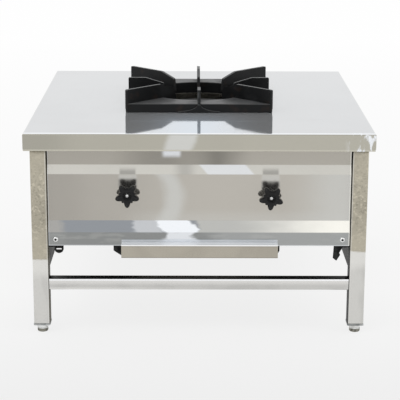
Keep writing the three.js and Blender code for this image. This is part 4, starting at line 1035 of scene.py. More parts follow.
def pipe_finish(look):
    """Painted grey gas pipe with soft runs in the paint."""
    made = Finish("pipe_steel", 0.2, 0.42)
    smears = made.group("smears_and_scratches", build_smears, {"Scale": 34.0, "Scratches": 0.5})
    wear_and_shade = made.group("edge_wear", build_edge_wear, {"Scale": 120.0, "Sharpness": 0.8})
    tone = made.mix(smears["Clouds"], look.pipe, darker(look.pipe, 0.8))
    made.colour(made.mix(wear_and_shade["Edges"], tone, look.bar))
    made.rough(made.between(smears["Clouds"], 0.36, 0.5))
    made.bump(made.noise(420.0, 2.0), 0.00005)
    return made.material


FINISH_MAKERS = {
    "worktop_steel": worktop_finish,
    "panel_steel": panel_finish,
    "side_panel_steel": side_panel_finish,
    "leg_steel": leg_finish,
    "stretcher_steel": stretcher_finish,
    "frame_steel": bar_finish,
    "tray_steel": tray_finish,
    "black_steel": shadow_black_finish,
    "cast_iron": iron_finish,
    "burner_iron": burner_finish,
    "brass": brass_finish,
    "black_plastic": knob_finish,
    "bright_steel": plated_finish,
    "foot_steel": foot_finish,
    "pipe_steel": pipe_finish,
}


def finish(name):
    """The material of this name, made the first time that a piece asks for it."""
    made = bpy.data.materials.get(name + FINISHED)
    return made or FINISH_MAKERS[name](bpy.context.scene.range_finish)


# ---------------------------------------------------------------------------------------------
# Geometry Nodes for what repeats
# ---------------------------------------------------------------------------------------------


def repeat_tree():
    """Copies of a piece in a circle about the Z axis, each turned to face outwards."""
    name = "copies_in_a_circle"
    if name in bpy.data.node_groups:
        return bpy.data.node_groups[name]
    tree, inp, out = new_group(
        name, "GeometryNodeTree",
        [("Geometry", "NodeSocketGeometry", None), ("Piece", "NodeSocketObject", None),
         ("Count", "NodeSocketInt", 8), ("Radius", "NodeSocketFloat", 0.0),
         ("Start", "NodeSocketFloat", 0.0), ("Height", "NodeSocketFloat", 0.0),
         ("Material", "NodeSocketMaterial", None)],
        [("Geometry", "NodeSocketGeometry")],
    )
    number = add(tree, "GeometryNodeInputIndex")
    part = add(tree, "ShaderNodeMath", {0: number.outputs[0], 1: inp.outputs["Count"]}, operation="DIVIDE")
    turn = add(tree, "ShaderNodeMath", {0: part.outputs[0], 1: 2 * math.pi, 2: inp.outputs["Start"]},
               operation="MULTIPLY_ADD")
    cos = add(tree, "ShaderNodeMath", {0: turn.outputs[0]}, operation="COSINE")
    sin = add(tree, "ShaderNodeMath", {0: turn.outputs[0]}, operation="SINE")
    x = add(tree, "ShaderNodeMath", {0: cos.outputs[0], 1: inp.outputs["Radius"]}, operation="MULTIPLY")
    y = add(tree, "ShaderNodeMath", {0: sin.outputs[0], 1: inp.outputs["Radius"]}, operation="MULTIPLY")
    place = add(tree, "ShaderNodeCombineXYZ",
                {"X": x.outputs[0], "Y": y.outputs[0], "Z": inp.outputs["Height"]})
    points = add(tree, "GeometryNodePoints", {"Count": inp.outputs["Count"], "Position": place.outputs[0]})
    facing = add(tree, "ShaderNodeCombineXYZ", {"Z": turn.outputs[0]})
    piece = add(tree, "GeometryNodeObjectInfo", {"Object": inp.outputs["Piece"]})
    copies = add(tree, "GeometryNodeInstanceOnPoints",
                 {"Points": points.outputs[0], "Instance": piece.outputs["Geometry"],
                  "Rotation": facing.outputs[0]})
    real = add(tree, "GeometryNodeRealizeInstances", {"Geometry": copies.outputs[0]})
    painted = add(tree, "GeometryNodeSetMaterial",
                  {"Geometry": real.outputs[0], "Material": inp.outputs["Material"]})
    tree.links.new(painted.outputs[0], out.inputs[0])
    return tree


def ported_tree():
    """Ports cut through a burner cap: two circles of round holes."""
    name = "ports_in_a_cap"
    if name in bpy.data.node_groups:
        return bpy.data.node_groups[name]
    tree, inp, out = new_group(
        name, "GeometryNodeTree",
        [("Geometry", "NodeSocketGeometry", None), ("Count", "NodeSocketInt", 24),
         ("Circle", "NodeSocketFloat", 0.0885), ("Port Radius", "NodeSocketFloat", 0.0022),
         ("Small Count", "NodeSocketInt", 48), ("Small Circle", "NodeSocketFloat", 0.1),
         ("Small Radius", "NodeSocketFloat", 0.0009), ("Sides", "NodeSocketInt", 10),
         ("Height", "NodeSocketFloat", 0.43), ("Material", "NodeSocketMaterial", None)],
        [("Geometry", "NodeSocketGeometry")],
    )
    drills = []
    for amount, circle, radius in (("Count", "Circle", "Port Radius"),
                                   ("Small Count", "Small Circle", "Small Radius")):
        ring = add(tree, "GeometryNodeMeshCircle",
                   {"Vertices": inp.outputs[amount], "Radius": inp.outputs[circle]})
        drill = add(tree, "GeometryNodeMeshCylinder",
                    {"Vertices": inp.outputs["Sides"], "Radius": inp.outputs[radius], "Depth": 0.04})
        set_of = add(tree, "GeometryNodeInstanceOnPoints",
                     {"Points": ring.outputs[0], "Instance": drill.outputs[0]})
        up = add(tree, "ShaderNodeCombineXYZ", {"Z": inp.outputs["Height"]})
        drills.append(add(tree, "GeometryNodeTransform",
                          {"Geometry": set_of.outputs[0], "Translation": up.outputs[0]}))
    cutter = add(tree, "GeometryNodeJoinGeometry")
    for drill in drills:
        tree.links.new(drill.outputs[0], cutter.inputs[0])
    solid = add(tree, "GeometryNodeRealizeInstances", {"Geometry": cutter.outputs[0]})
    holes = add(tree, "GeometryNodeMeshBoolean",
                {"Mesh 1": inp.outputs["Geometry"], "Mesh 2": solid.outputs[0]}, operation="DIFFERENCE")
    real = add(tree, "GeometryNodeRealizeInstances", {"Geometry": holes.outputs[0]})
    painted = add(tree, "GeometryNodeSetMaterial",
                  {"Geometry": real.outputs[0], "Material": inp.outputs["Material"]})
    tree.links.new(painted.outputs[0], out.inputs[0])
    return tree


def thread_tree():
    """A screw thread: a small triangle swept along a helix about the Z axis."""
    name = "screw_thread"
    if name in bpy.data.node_groups:
        return bpy.data.node_groups[name]
    tree, inp, out = new_group(
        name, "GeometryNodeTree",
        [("Geometry", "NodeSocketGeometry", None), ("Radius", "NodeSocketFloat", 0.005),
         ("Pitch", "NodeSocketFloat", 0.0015), ("Length", "NodeSocketFloat", 0.02),
         ("Depth", "NodeSocketFloat", 0.0008), ("Base", "NodeSocketFloat", 0.0),
         ("Material", "NodeSocketMaterial", None)],
        [("Geometry", "NodeSocketGeometry")],
    )
    turns = add(tree, "ShaderNodeMath", {0: inp.outputs["Length"], 1: inp.outputs["Pitch"]},
                operation="DIVIDE")
    helix = add(tree, "GeometryNodeCurveSpiral",
                {"Resolution": 24, "Rotations": turns.outputs[0], "Start Radius": inp.outputs["Radius"],
                 "End Radius": inp.outputs["Radius"], "Height": inp.outputs["Length"]})
    section = add(tree, "GeometryNodeCurvePrimitiveCircle",
                  {"Resolution": 3, "Radius": inp.outputs["Depth"]})
    ridge = add(tree, "GeometryNodeCurveToMesh",
                {"Curve": helix.outputs[0], "Profile Curve": section.outputs[0], "Fill Caps": True})
    up = add(tree, "ShaderNodeCombineXYZ", {"Z": inp.outputs["Base"]})
    placed = add(tree, "GeometryNodeTransform", {"Geometry": ridge.outputs[0], "Translation": up.outputs[0]})
    both = add(tree, "GeometryNodeJoinGeometry")
    tree.links.new(inp.outputs["Geometry"], both.inputs[0])
    tree.links.new(placed.outputs[0], both.inputs[0])
    real = add(tree, "GeometryNodeRealizeInstances", {"Geometry": both.outputs[0]})
    painted = add(tree, "GeometryNodeSetMaterial",
                  {"Geometry": real.outputs[0], "Material": inp.outputs["Material"]})
    tree.links.new(painted.outputs[0], out.inputs[0])
    return tree


def run_tree(piece, tree, values):
    """Runs a Geometry Nodes tree on a piece with these inputs and keeps the result as its mesh."""
    made = piece.modifiers.new("nodes", "NODES")
    made.node_group = tree
    sockets = {s.name: s.identifier for s in tree.interface.items_tree if s.in_out == "INPUT"}
    for title, value in values.items():
        made[sockets[title]] = value
    return finished(piece)


def drop(*pieces):
    """Deletes pieces that only served to make others."""
    for piece in pieces:
        mesh = piece.data
        bpy.data.objects.remove(piece)
        if mesh.users == 0:
            bpy.data.meshes.remove(mesh)


# ---------------------------------------------------------------------------------------------
# Pieces
# ---------------------------------------------------------------------------------------------


def square_loop(half_x, half_y, corner, z, inner_points=0, corner_points=6):
    """A level rounded rectangle with a support point beside each corner, so that its sides stay flat."""
    guard = 0.0005
    loop = []
    for quarter, (sx, sy) in enumerate(((1, 1), (-1, 1), (-1, -1), (1, -1))):
        cx, cy = sx * (half_x - corner), sy * (half_y - corner)
        start = quarter * math.pi / 2
        along = (math.sin(start), -math.cos(start))
        first = (cx + corner * math.cos(start), cy + corner * math.sin(start))
        loop.append((first[0] + along[0] * guard, first[1] + along[1] * guard, z))
        for k in range(corner_points + 1):
            angle = start + k / corner_points * math.pi / 2
            loop.append((cx + corner * math.cos(angle), cy + corner * math.sin(angle), z))
        end = loop[-1]
        away = (-math.sin(start + math.pi / 2 - math.pi / 2), 0.0)
        direction = (-math.sin(start + math.pi / 2), math.cos(start + math.pi / 2))
        loop.append((end[0] + direction[0] * guard, end[1] + direction[1] * guard, z))
        side = 2 * (half_y - corner if quarter % 2 else half_x - corner) - 2 * guard
        for k in range(1, inner_points + 1):
            run = guard + side * k / (inner_points + 1)
            loop.append((end[0] + direction[0] * run, end[1] + direction[1] * run, z))
    return loop


def matching_circle(loop, radius, z):
    """A level circle with as many points as a loop, starting in the same direction."""
    start = math.atan2(loop[0][1], loop[0][0])
    size = len(loop)
    angles = [math.atan2(p[1], p[0]) for p in loop]
    first = angles[0]
    spread = [first + ((a - first) % (2 * math.pi)) for a in angles]
    even = [start + 2 * math.pi * k / size for k in range(size)]
    mixed = [0.25 * s + 0.75 * e for s, e in zip(spread, even)]
    return circle_loop(radius, z, mixed)


def make_worktop(shape):
    """The folded sheet: hem, skirt, bend, flat top, lipped opening and the same again inside."""
    lo, hi = low("top_sheet"), high("top_sheet")
    half_x, half_y = hi.x, hi.y
    sheet, hem = 1.5 * MM, 8 * MM
    opening, lip = 128 * MM, 8 * MM
    corner, bend = shape.worktop_corner, shape.worktop_bend
    top, bottom = hi.z, lo.z

    def square(inset, z):
        return square_loop(half_x - inset, half_y - inset, max(corner - inset, 0.4 * MM), z, 15)

    def bent(centre_inset, centre_z, radius, start, end, steps):
        return [square(u, z) for u, z in arc(centre_inset, centre_z, radius, start, end, steps)]

    small, step = 1.2 * MM, 0.35 * MM
    outer = [square(hem, bottom + 0.3 * MM), square(hem - 0.3 * MM, bottom), square(small + 0.6 * MM, bottom)]
    outer += bent(small + step, bottom + small, small, 270, 180, 4)
    outer += [square(step, bottom + 3.6 * MM), square(0, bottom + 4.0 * MM), square(0, bottom + 4.6 * MM)]
    outer += [square(0, top - bend - 0.8 * MM)]
    outer += bent(bend, top - bend, bend, 180, 90, 8)
    outer += [square(bend + 0.8 * MM, top)]
    sample = outer[-1]

    def circle(radius, z):
        return matching_circle(sample, radius, z)

    rolled = 2 * MM
    edge = [circle(opening + rolled + 0.6 * MM, top)]
    edge += [circle(r, z) for r, z in arc(opening + rolled, top - rolled, rolled, 90, 180, 6)]
    edge += [circle(opening, top - lip - 1.5 * MM + 0.3 * MM), circle(opening + 0.3 * MM, top - lip - 1.5 * MM)]
    edge += [circle(opening + sheet - 0.3 * MM, top - lip - 1.5 * MM),
             circle(opening + sheet, top - lip - 1.2 * MM), circle(opening + sheet, top - sheet - 1.2 * MM)]
    edge += [circle(opening + sheet + 1.2 * MM, top - sheet), circle(opening + sheet + 2 * MM, top - sheet)]
    inside = [square(bend + 0.8 * MM, top - sheet)]
    inside += bent(bend, top - bend, bend - sheet, 90, 180, 4)
    inside += [square(sheet, bottom + sheet + 0.6 * MM), square(sheet, bottom + sheet),
               square(sheet + 0.5 * MM, bottom + sheet), square(hem - 0.3 * MM, bottom + sheet),
               square(hem, bottom + sheet - 0.3 * MM)]
    points, faces = bridge(outer + edge + inside, ring=True)
    mesh = sharpen(mesh_of("worktop", points, faces), 50.0)
    settle(new_piece("worktop", mesh), FIXED, "worktop_steel", finish("worktop_steel"), "top_sheet")


def tube(name, size, wall, corner, start, end, centre, axis):
    """A square tube with rounded corners, along an axis."""
    edge = 0.3 * MM
    half = size / 2
    loops = [
        square_loop(half - edge, half - edge, corner - edge, start),
        square_loop(half, half, corner, start + edge),
        square_loop(half, half, corner, end - edge),
        square_loop(half - edge, half - edge, corner - edge, end),
        square_loop(half - wall + edge / 2, half - wall + edge / 2, corner - wall + edge / 2, end),
        square_loop(half - wall, half - wall, corner - wall, end - edge),
        square_loop(half - wall, half - wall, corner - wall, start + edge),
        square_loop(half - wall + edge / 2, half - wall + edge / 2, corner - wall + edge / 2, start),
    ]
    points, faces = bridge(loops, ring=True)
    if axis == "X":
        points = [(z, x, y) for x, y, z in points]
    points = [(x + centre[0], y + centre[1], z + centre[2]) for x, y, z in points]
    return sharpen(mesh_of(name, points, faces), 60.0)


def make_legs(shape):
    """Four square tubes, each with a plate closing its lower end."""
    for corner in CORNERS:
        leg, plate = "leg_" + corner, "leg_plate_" + corner
        at = middle(leg)
        mesh = tube(leg + "_tube", high(leg).x - low(leg).x, 1.5 * MM, shape.tube_corner,
                    low(leg).z, high(leg).z, (at.x, at.y, 0), "Z")
        settle(new_piece(leg + "_tube", mesh), FIXED, "leg_steel", finish("leg_steel"), leg)
        half, edge, hole = (high(plate).x - low(plate).x) / 2, 0.7 * MM, 5.4 * MM
        bottom, top = low(plate).z, high(plate).z
        sample = square_loop(half, half, shape.tube_corner, bottom)
        loops = [square_loop(half - edge, half - edge, shape.tube_corner - edge, bottom),
                 square_loop(half, half, shape.tube_corner, bottom + edge),
                 square_loop(half, half, shape.tube_corner, top - edge),
                 square_loop(half - edge, half - edge, shape.tube_corner - edge, top),
                 matching_circle(sample, hole, top), matching_circle(sample, hole, bottom)]
        points, faces = bridge(loops, ring=True)
        points = [(x + at.x, y + at.y, z) for x, y, z in points]
        mesh = sharpen(mesh_of(plate + "_end", points, faces))
        settle(new_piece(plate + "_end", mesh), FIXED, "frame_steel", finish("frame_steel"), plate)


def make_feet(shape):
    """Levelling feet: a collar under the leg, a ridged grip, a pad and a threaded stud."""
    ridge = new_piece("foot_ridge", turned("foot_ridge", [
        (0, 0.9 * MM), (0.75 * MM, 1.4 * MM), (0.9 * MM, 2.2 * MM), (0.9 * MM, 8.0 * MM),
        (0.75 * MM, 8.9 * MM), (0, 9.4 * MM)], 8))
    for corner in CORNERS:
        name = "foot_" + corner
        at, top = middle(name), high(name).z
        profile = [(0, 0), (10.4 * MM, 0), (11.0 * MM, 0.5 * MM), (11.0 * MM, 9.4 * MM),
                   (11.3 * MM, 10.0 * MM), (12.6 * MM, 11.0 * MM), (13.4 * MM, 15.0 * MM),
                   (13.2 * MM, 16.6 * MM), (12.6 * MM, 17.0 * MM), (4.9 * MM, 17.0 * MM),
                   (4.9 * MM, top - 1.0 * MM), (4.1 * MM, top), (0, top)]
        body = sharpen(turned(name + "_body", profile, shape.round_steps))
        grip = new_piece(name + "_grip", bpy.data.meshes.new(name + "_grip"))
        run_tree(grip, repeat_tree(), {"Piece": ridge, "Count": 24, "Radius": 10.9 * MM,
                                       "Material": finish("foot_steel")})
        stud = new_piece(name + "_stud", bpy.data.meshes.new(name + "_stud"))
        run_tree(stud, thread_tree(), {"Radius": 4.9 * MM, "Pitch": shape.thread_pitch,
                                       "Length": top - 19.5 * MM, "Depth": 0.5 * MM, "Base": 18 * MM,
                                       "Material": finish("foot_steel")})
        whole = joined(name + "_turned", [body, grip.data.copy(), stud.data.copy()])
        drop(grip, stud)
        whole.transform(Matrix.Translation((at.x, at.y, 0)))
        settle(new_piece(name + "_turned", sharpen(whole)), name, "bright_steel",
               finish("foot_steel"), name)
    drop(ridge)


def make_stretchers(shape):
    """Square tubes between the front and between the rear legs."""
    for side in ("front", "rear"):
        node = "stretcher_" + side
        at, size = middle(node), high(node).z - low(node).z
        mesh = tube(node + "_tube", size, 1.2 * MM, 1.9 * MM, low(node).x, high(node).x,
                    (0, at.y, at.z), "X")
        settle(new_piece(node + "_tube", mesh), FIXED, "leg_steel", finish("stretcher_steel"), node)


def make_bars(shape):
    """Rails, cross angles, burner supports and manifold saddles with their rolled edges."""
    nodes = ["rail_front", "rail_rear", "rail_left", "rail_right", "cross_angle_front",
             "cross_angle_rear", "burner_support_front", "burner_support_rear",
             "manifold_saddle_left", "manifold_saddle_right"]
    for node in nodes:
        refined(node, "frame_steel", finish("frame_steel"), shape.bar_edge, segments=3)


def eased(points, radius, steps=4):
    """A line with each inner corner rounded, and support points beside each bend."""
    line = [Vector(points[0])]
    for before, here, after in zip(points, points[1:], points[2:]):
        here = Vector(here)
        back, on = (Vector(before) - here), (Vector(after) - here)
        turn = math.pi - back.angle(on)
        reach = max(radius * math.tan(turn / 2), 0.3 * MM)
        start, end = here + back.normalized() * reach, here + on.normalized() * reach
        line.append(start + back.normalized() * 0.6 * MM)
        for k in range(steps + 1):
            t = k / steps
            line.append(start.lerp(here, t).lerp(here.lerp(end, t), t))
        line.append(end + on.normalized() * 0.6 * MM)
    line.append(Vector(points[-1]))
    return line


def drilled(piece, drills):
    """Holes cut by round drills along Y: (x, z, radius) each."""
    cutters = []
    for x, z, radius in drills:
        mesh = turned("drill", [(0, -0.06), (radius, -0.06), (radius, 0.06), (0, 0.06)], 48,
                      (x, middle("front_panel").y, z), "Y")
        cutters.append(new_piece("drill", mesh))
    for cutter in cutters:
        hole = piece.modifiers.new("hole", "BOOLEAN")
        hole.operation = "DIFFERENCE"
        hole.solver = "EXACT"
        hole.object = cutter
    finished(piece)
    drop(*cutters)
    return piece


def make_front_panel(shape):
    """The faceted sheet between the front legs, with stem and screw holes."""
    node, sheet = "front_panel", 1.2 * MM
    lo, hi = low(node), high(node)
    upper, main, lower = -0.373, -0.377, lo.y
    heights = (hi.z, *facet_bends(), lo.z)
    across = (upper, upper, main, main, lower, lower)
    face = eased(list(zip(across, heights)), shape.panel_bend)
    back = [Vector((p.x + sheet, p.y)) for p in reversed(face)]
    section = face + back
    loops = [[(x, p.x, p.y) for p in section] for x in (lo.x, hi.x)]
    points, faces = bridge(loops)
    piece = new_piece("front_panel_sheet", mesh_of("front_panel_sheet", points, faces))
    stems = [(middle("valve_stem_" + s).x, middle("valve_stem_" + s).z, 7 * MM) for s in SIDES]
    screws = [(middle("panel_screw_" + s).x, middle("panel_screw_" + s).z, 2.3 * MM) for s in SIDES]
    drilled(piece, stems + screws)
    bevel(piece, shape.sheet_edge, 2, 50.0)
    settle(piece, FIXED, "panel_steel", finish("panel_steel"), node)


def make_brackets(shape):
    """Brackets of the front panel with their tongues below its edge."""
    for side in SIDES:
        refined("panel_bracket_" + side, "black_steel", finish("black_steel"), shape.sheet_edge * 1.6)


def cross_recess(name, radius, depth, width, top):
    """Two crossed tapered blades that cut a cross slot into a screw head."""
    blades = []
    for turn in (0.0, math.pi / 2):
        loops = []
        for z, r, w in ((top + 1 * MM, radius, width), (top - depth, radius * 0.45, width * 0.6)):
            loops.append([(-r, -w, z), (r, -w, z), (r, w, z), (-r, w, z)])
        points, faces = bridge(loops)
        mesh = mesh_of(name, points, faces)
        mesh.transform(Matrix.Rotation(turn, 4, "Z"))
        blades.append(new_piece(name, mesh))
    return blades


def screw_mesh(name, radius, height, shank, reach, steps):
    """A domed screw with a cross recess, head up along +Z, its seat at zero."""
    dome = [(radius * math.cos(math.radians(a)), height * math.sin(math.radians(a)) * 0.72 + height * 0.28)
            for a in range(0, 90, 10)]
    profile = [(0, -reach), (shank, -reach), (shank, 0), (radius * 0.96, 0), (radius, height * 0.12)]
    profile += dome + [(0, height)]
    head = new_piece(name, turned(name, profile, steps))
    blades = cross_recess(name + "_slot", radius * 0.62, height * 0.75, radius * 0.13, height)
    for blade in blades:
        hole = head.modifiers.new("slot", "BOOLEAN")
        hole.operation = "DIFFERENCE"
        hole.solver = "EXACT"
        hole.object = blade
    finished(head)
    drop(*blades)
    sharpen(head.data, 30.0)
    return head


def make_panel_screws(shape):
    """Pan-head screws at the panel's lower corners, one shape placed on two points."""
    seat = high("panel_screw_left").y - 12 * MM
    head = screw_mesh("screw_shape", 5.6 * MM, 2.8 * MM, 2 * MM, 12 * MM, 48)
    left, right = middle("panel_screw_left"), middle("panel_screw_right")
    piece = new_piece("panel_screws", bpy.data.meshes.new("panel_screws"))
    run_tree(piece, repeat_tree(), {"Piece": head, "Count": 2, "Radius": (right.x - left.x) / 2,
                                    "Material": finish("bright_steel")})
    drop(head)
    piece.data.transform(Matrix.Rotation(math.pi / 2, 4, "X"))
    piece.data.transform(Matrix.Translation(((left.x + right.x) / 2, seat, left.z)))
    settle(piece, FIXED, "bright_steel", finish("bright_steel"), "panel_screw_left", "panel_screw_right")


def make_side_panels(shape):
    """The side and rear sheets."""
    for node in ("side_panel_left", "side_panel_right", "rear_panel"):
        refined(node, "panel_steel", finish("side_panel_steel"), shape.sheet_edge, segments=2)


def make_drip_tray(shape):
    """The pan with its folded handle."""
    refined("drip_tray", "tray_steel", finish("tray_steel"), shape.sheet_edge * 1.7, "drip_tray", 4)


def make_tray_runners(shape):
    """The two folded runners under the cross angles."""
    for side in SIDES:
        refined("tray_runner_" + side, "black_steel", finish("black_steel"), shape.sheet_edge * 1.4)


def knob_radius(phase):
    """The knob's outline: long lobes with a short lobe between each two."""
    tip = ((1 + math.cos(phase)) / 2) ** 1.15
    short = ((1 - math.cos(phase)) / 2) ** 8
    return (14.5 + 12.0 * tip + 4.6 * short) * MM


def knob_mesh(name, lobes, steps):
    """The moulded knob, facing -Y, with a raised rim, a ridge on each lobe and a recessed middle."""
    rings = [
        (0, 4.3, 14), (0, 8.6, 14), (0, 9.0, 13.5), (0, 9.0, 8.6), (0, 9.4, 7.6), (1, 0.76, 7.0),
        (1, 0.92, 6.7), (1, 0.975, 5.7), (1, 1.0, 4.0), (1, 1.0, -3.2), (1, 0.985, -4.9),
        (1, 0.955, -6.2), (1, 0.92, -6.9), (1, 0.88, -7.0), (1, 0.84, -6.7), (1, 0.79, -5.6),
        (1, 0.70, -5.0), (0.5, 0.60, -4.9), (0, 9.4, -5.2), (0, 8.7, -6.3), (0, 8.1, -6.9), (0, 7.5, -6.8),
        (0, 7.1, -6.2), (0, 6.9, -3.4), (0, 6.5, -3.0), (0, 4.3, -3.0),
    ]
    total = lobes * steps
    loops = []
    for star, size, y in rings:
        loop = []
        for k in range(total):
            angle = 2 * math.pi * k / total
            phase = lobes * angle
            away = abs((phase + math.pi) % (2 * math.pi) - math.pi) / lobes
            outline = knob_radius(phase)
            if star == 1:
                radius = size * outline
            elif star == 0:
                radius = size * MM
            else:
                radius = 0.5 * (size * outline + 9.6 * MM)
            lift = 0.0
            if star > 0 and y < -4.5 and size < 0.85:
                lift = 1.7 * math.exp(-((away / 0.10) ** 2)) * (1.0 if size > 0.65 else 0.7)
            way = angle - math.pi / 2
            loop.append((radius * math.cos(way), (y - lift) * MM, radius * math.sin(way)))
        loops.append(loop)
    points, faces = bridge(loops, ring=True)
    return sharpen(mesh_of(name, points, faces), 44.0)


def make_knobs(shape):
    """Knobs with their screws and stems, one set on each valve."""
    for side, turn in (("left", 0.0), ("right", math.radians(5))):
        stem, screw = "valve_stem_" + side, "knob_screw_" + side
        body = "knob_" + side
        x, z = middle(stem).x, middle(stem).z
        mesh = knob_mesh(body + "_moulding", 5, shape.knob_steps)
        mesh.transform(Matrix.Rotation(turn, 4, "Y"))
        mesh.transform(Matrix.Translation((x, low(body).y + 7 * MM, z)))
        settle(new_piece(body + "_moulding", mesh), body, "black_plastic", finish("black_plastic"), body)
        head = screw_mesh(screw + "_head", 3.4 * MM, 3 * MM, 2 * MM, 0.2 * MM, 40)
        head.data.transform(Matrix.Rotation(math.pi / 2, 4, "X"))
        head.data.transform(Matrix.Rotation(0.5 + turn, 4, "Y"))
        head.data.transform(Matrix.Translation((x, high(screw).y, z)))
        settle(head, body, "bright_steel", finish("bright_steel"), screw)
        front, back, radius = low(stem).y, high(stem).y, 4 * MM
        profile = [(0, front), (radius - 0.5 * MM, front), (radius, front + 0.5 * MM),
                   (radius, back - 0.5 * MM), (radius - 0.5 * MM, back), (0, back)]
        mesh = sharpen(turned(stem + "_shaft", profile, 32, (x, 0, z), "Y"))
        settle(new_piece(stem + "_shaft", mesh), body, "bright_steel", finish("bright_steel"), stem)


def softened(points, radius, steps=3):
    """A closed section with each corner rounded."""
    line = []
    size = len(points)
    for k in range(size):
        before, here, after = (Vector(points[(k + d) % size]) for d in (-1, 0, 1))
        back, on = before - here, after - here
        reach = min(radius, back.length * 0.4, on.length * 0.4)
        start, end = here + back.normalized() * reach, here + on.normalized() * reach
        line.append(tuple(start + back.normalized() * reach * 0.3))
        for s in range(steps + 1):
            t = s / steps
            line.append(tuple(start.lerp(here, t).lerp(here.lerp(end, t), t)))
        line.append(tuple(end + on.normalized() * reach * 0.3))
    return line


def make_burner_rings(shape):
    """The two cast troughs that the gas fills."""
    for name, outer, inner in (("outer", 105, 72), ("inner", 48, 12)):
        node, wall = "burner_ring_" + name, 5
        base, top = low(node).z / MM, high(node).z / MM
        section = [(inner, base), (outer, base), (outer, top), (outer - wall, top),
                   (outer - wall, base + wall), (inner + wall, base + wall), (inner + wall, top),
                   (inner, top)]
        section = [(r * MM, z * MM) for r, z in softened(section, 1.2)]
        mesh = sharpen(turned(node + "_casting", section, shape.round_steps + 24, closed=True), 50.0)
        settle(new_piece(node + "_casting", mesh), FIXED, "cast_iron", finish("burner_iron"), node)


def make_burner_caps(shape):
    """The two caps with their circles of ports."""
    plans = (("outer", 105, 72, 24, 2.2, 60, 101.2), ("inner", 48, 12, 10, 2.2, 30, 44.4))
    for name, outer, inner, ports, port, small, small_circle in plans:
        node = "burner_cap_" + name
        base, top = low(node).z / MM, high(node).z / MM
        circle, slope = (outer + inner) / 2, 2.5
        section = [(inner, base), (outer, base), (outer, top - slope), (outer - slope * 2.2, top),
                   (circle + 6, top), (circle + 4.6, top - 1.2), (circle - 4.6, top - 1.2),
                   (circle - 6, top), (inner + slope, top), (inner, top - slope)]
        section = [(r * MM, z * MM) for r, z in softened(section, 0.8)]
        piece = new_piece(node + "_casting",
                          turned(node + "_casting", section, shape.round_steps + 24, closed=True))
        run_tree(piece, ported_tree(), {
            "Count": ports, "Circle": circle * MM, "Port Radius": port * MM, "Small Count": small,
            "Small Circle": small_circle * MM, "Small Radius": 1.0 * MM, "Sides": shape.port_sides,
            "Height": (base + top) / 2 * MM, "Material": finish("burner_iron")})
        sharpen(piece.data, 50.0)
        settle(piece, FIXED, "cast_iron", finish("burner_iron"), node)


def make_mixing_tubes(shape):
    """Cast mixing tubes and the steel shutters in front of their air windows."""
    for name in ("outer", "inner"):
        refined("mixing_tube_" + name, "cast_iron", finish("cast_iron"), shape.bar_edge)
    for side in SIDES:
        node = "air_shutter_" + side
        refined(node, "frame_steel", finish("frame_steel"), shape.sheet_edge, node)


def make_valves(shape):
    """Valve bodies and the nozzles screwed into them."""
    for side in SIDES:
        refined("valve_body_" + side, "brass", finish("brass"), shape.bar_edge)
        refined("gas_nozzle_" + side, "brass", finish("brass"), shape.sheet_edge)


def make_gas_line(shape):
    """Manifold, plug, elbow, supply pipe and the threaded inlet behind."""
    for node in ("manifold_pipe", "manifold_plug", "supply_elbow"):
        refined(node, "pipe_steel", finish("pipe_steel"), shape.bar_edge)
    node = "supply_pipe"
    at, front, back = middle(node), low(node).y, high(node).y
    wall = [(10.5 * MM, front), (13.5 * MM, front), (13.5 * MM, back), (10.5 * MM, back)]
    mesh = sharpen(turned(node + "_tube", softened(wall, 0.5 * MM), shape.round_steps,
                          (at.x, 0, at.z), "Y", closed=True), 50.0)
    settle(new_piece(node + "_tube", mesh), FIXED, "pipe_steel", finish("pipe_steel"), node)
    node = "gas_inlet_socket"
    at, front, back = middle(node), low(node).y, high(node).y
    deep, outside, step = back - 13.7 * MM, 18 * MM, 0.9 * MM
    section = [(13.8 * MM, front), (outside - 1.2 * MM, front), (outside, front + 1.2 * MM),
               (outside, front + 7 * MM), (outside - 0.8 * MM, front + 7.6 * MM),
               (outside - 0.8 * MM, back - 7.6 * MM), (outside, back - 7 * MM),
               (outside, back - 1.2 * MM), (outside - 1.2 * MM, back), (12.2 * MM, back)]
    y = back - 1.4 * MM
    while y > deep + 2 * step:
        section += [(10.5 * MM, y), (11.4 * MM, y - step)]
        y -= 2 * step
    section += [(10.5 * MM, y), (10.5 * MM, deep), (13.8 * MM, deep)]
    mesh = sharpen(turned(node + "_turned", section, shape.round_steps, (at.x, 0, at.z), "Y",
                          closed=True))
    settle(new_piece(node + "_turned", mesh), FIXED, "brass", finish("brass"), node)


def with_rims(mesh, width, smallest):
    """A narrow rim inside each large face, so that edges shade and get worn on their own."""
    shape = bmesh.new()
    shape.from_mesh(mesh)
    large = [f for f in shape.faces if f.calc_area() > smallest]
    bmesh.ops.inset_individual(shape, faces=large, thickness=width, use_even_offset=True)
    shape.to_mesh(mesh)
    shape.free()
    mesh.shade_smooth()
    return mesh


def fin_piece(name, outer, shape):
    """One upright fin, drawn outwards along X, with rounded edges."""
    base = low("pot_grate").z + 6 * MM
    inner, rise, drop_by = 78 * MM, 52 * MM, 13 * MM
    line = [(inner, base + 8 * MM), (inner + 5 * MM, base + rise - drop_by),
            (inner + 48 * MM, base + rise), (outer, base + rise), (outer, base + 7 * MM),
            (outer - 6 * MM, base + 0.6 * MM), (outer - 8 * MM, base + 0.6 * MM),
            (outer - 8 * MM, base + 8 * MM)]
    section = softened(line, 3.2 * MM, 5)
    half = 3.5 * MM
    loops = [[(u, y, v) for u, v in section] for y in (-half, half)]
    points, faces = bridge(loops)
    piece = new_piece(name, mesh_of(name, points, faces))
    bevel(piece, shape.cast_edge, 3, 50.0)
    with_rims(piece.data, 0.9 * MM, 4e-4)
    return piece


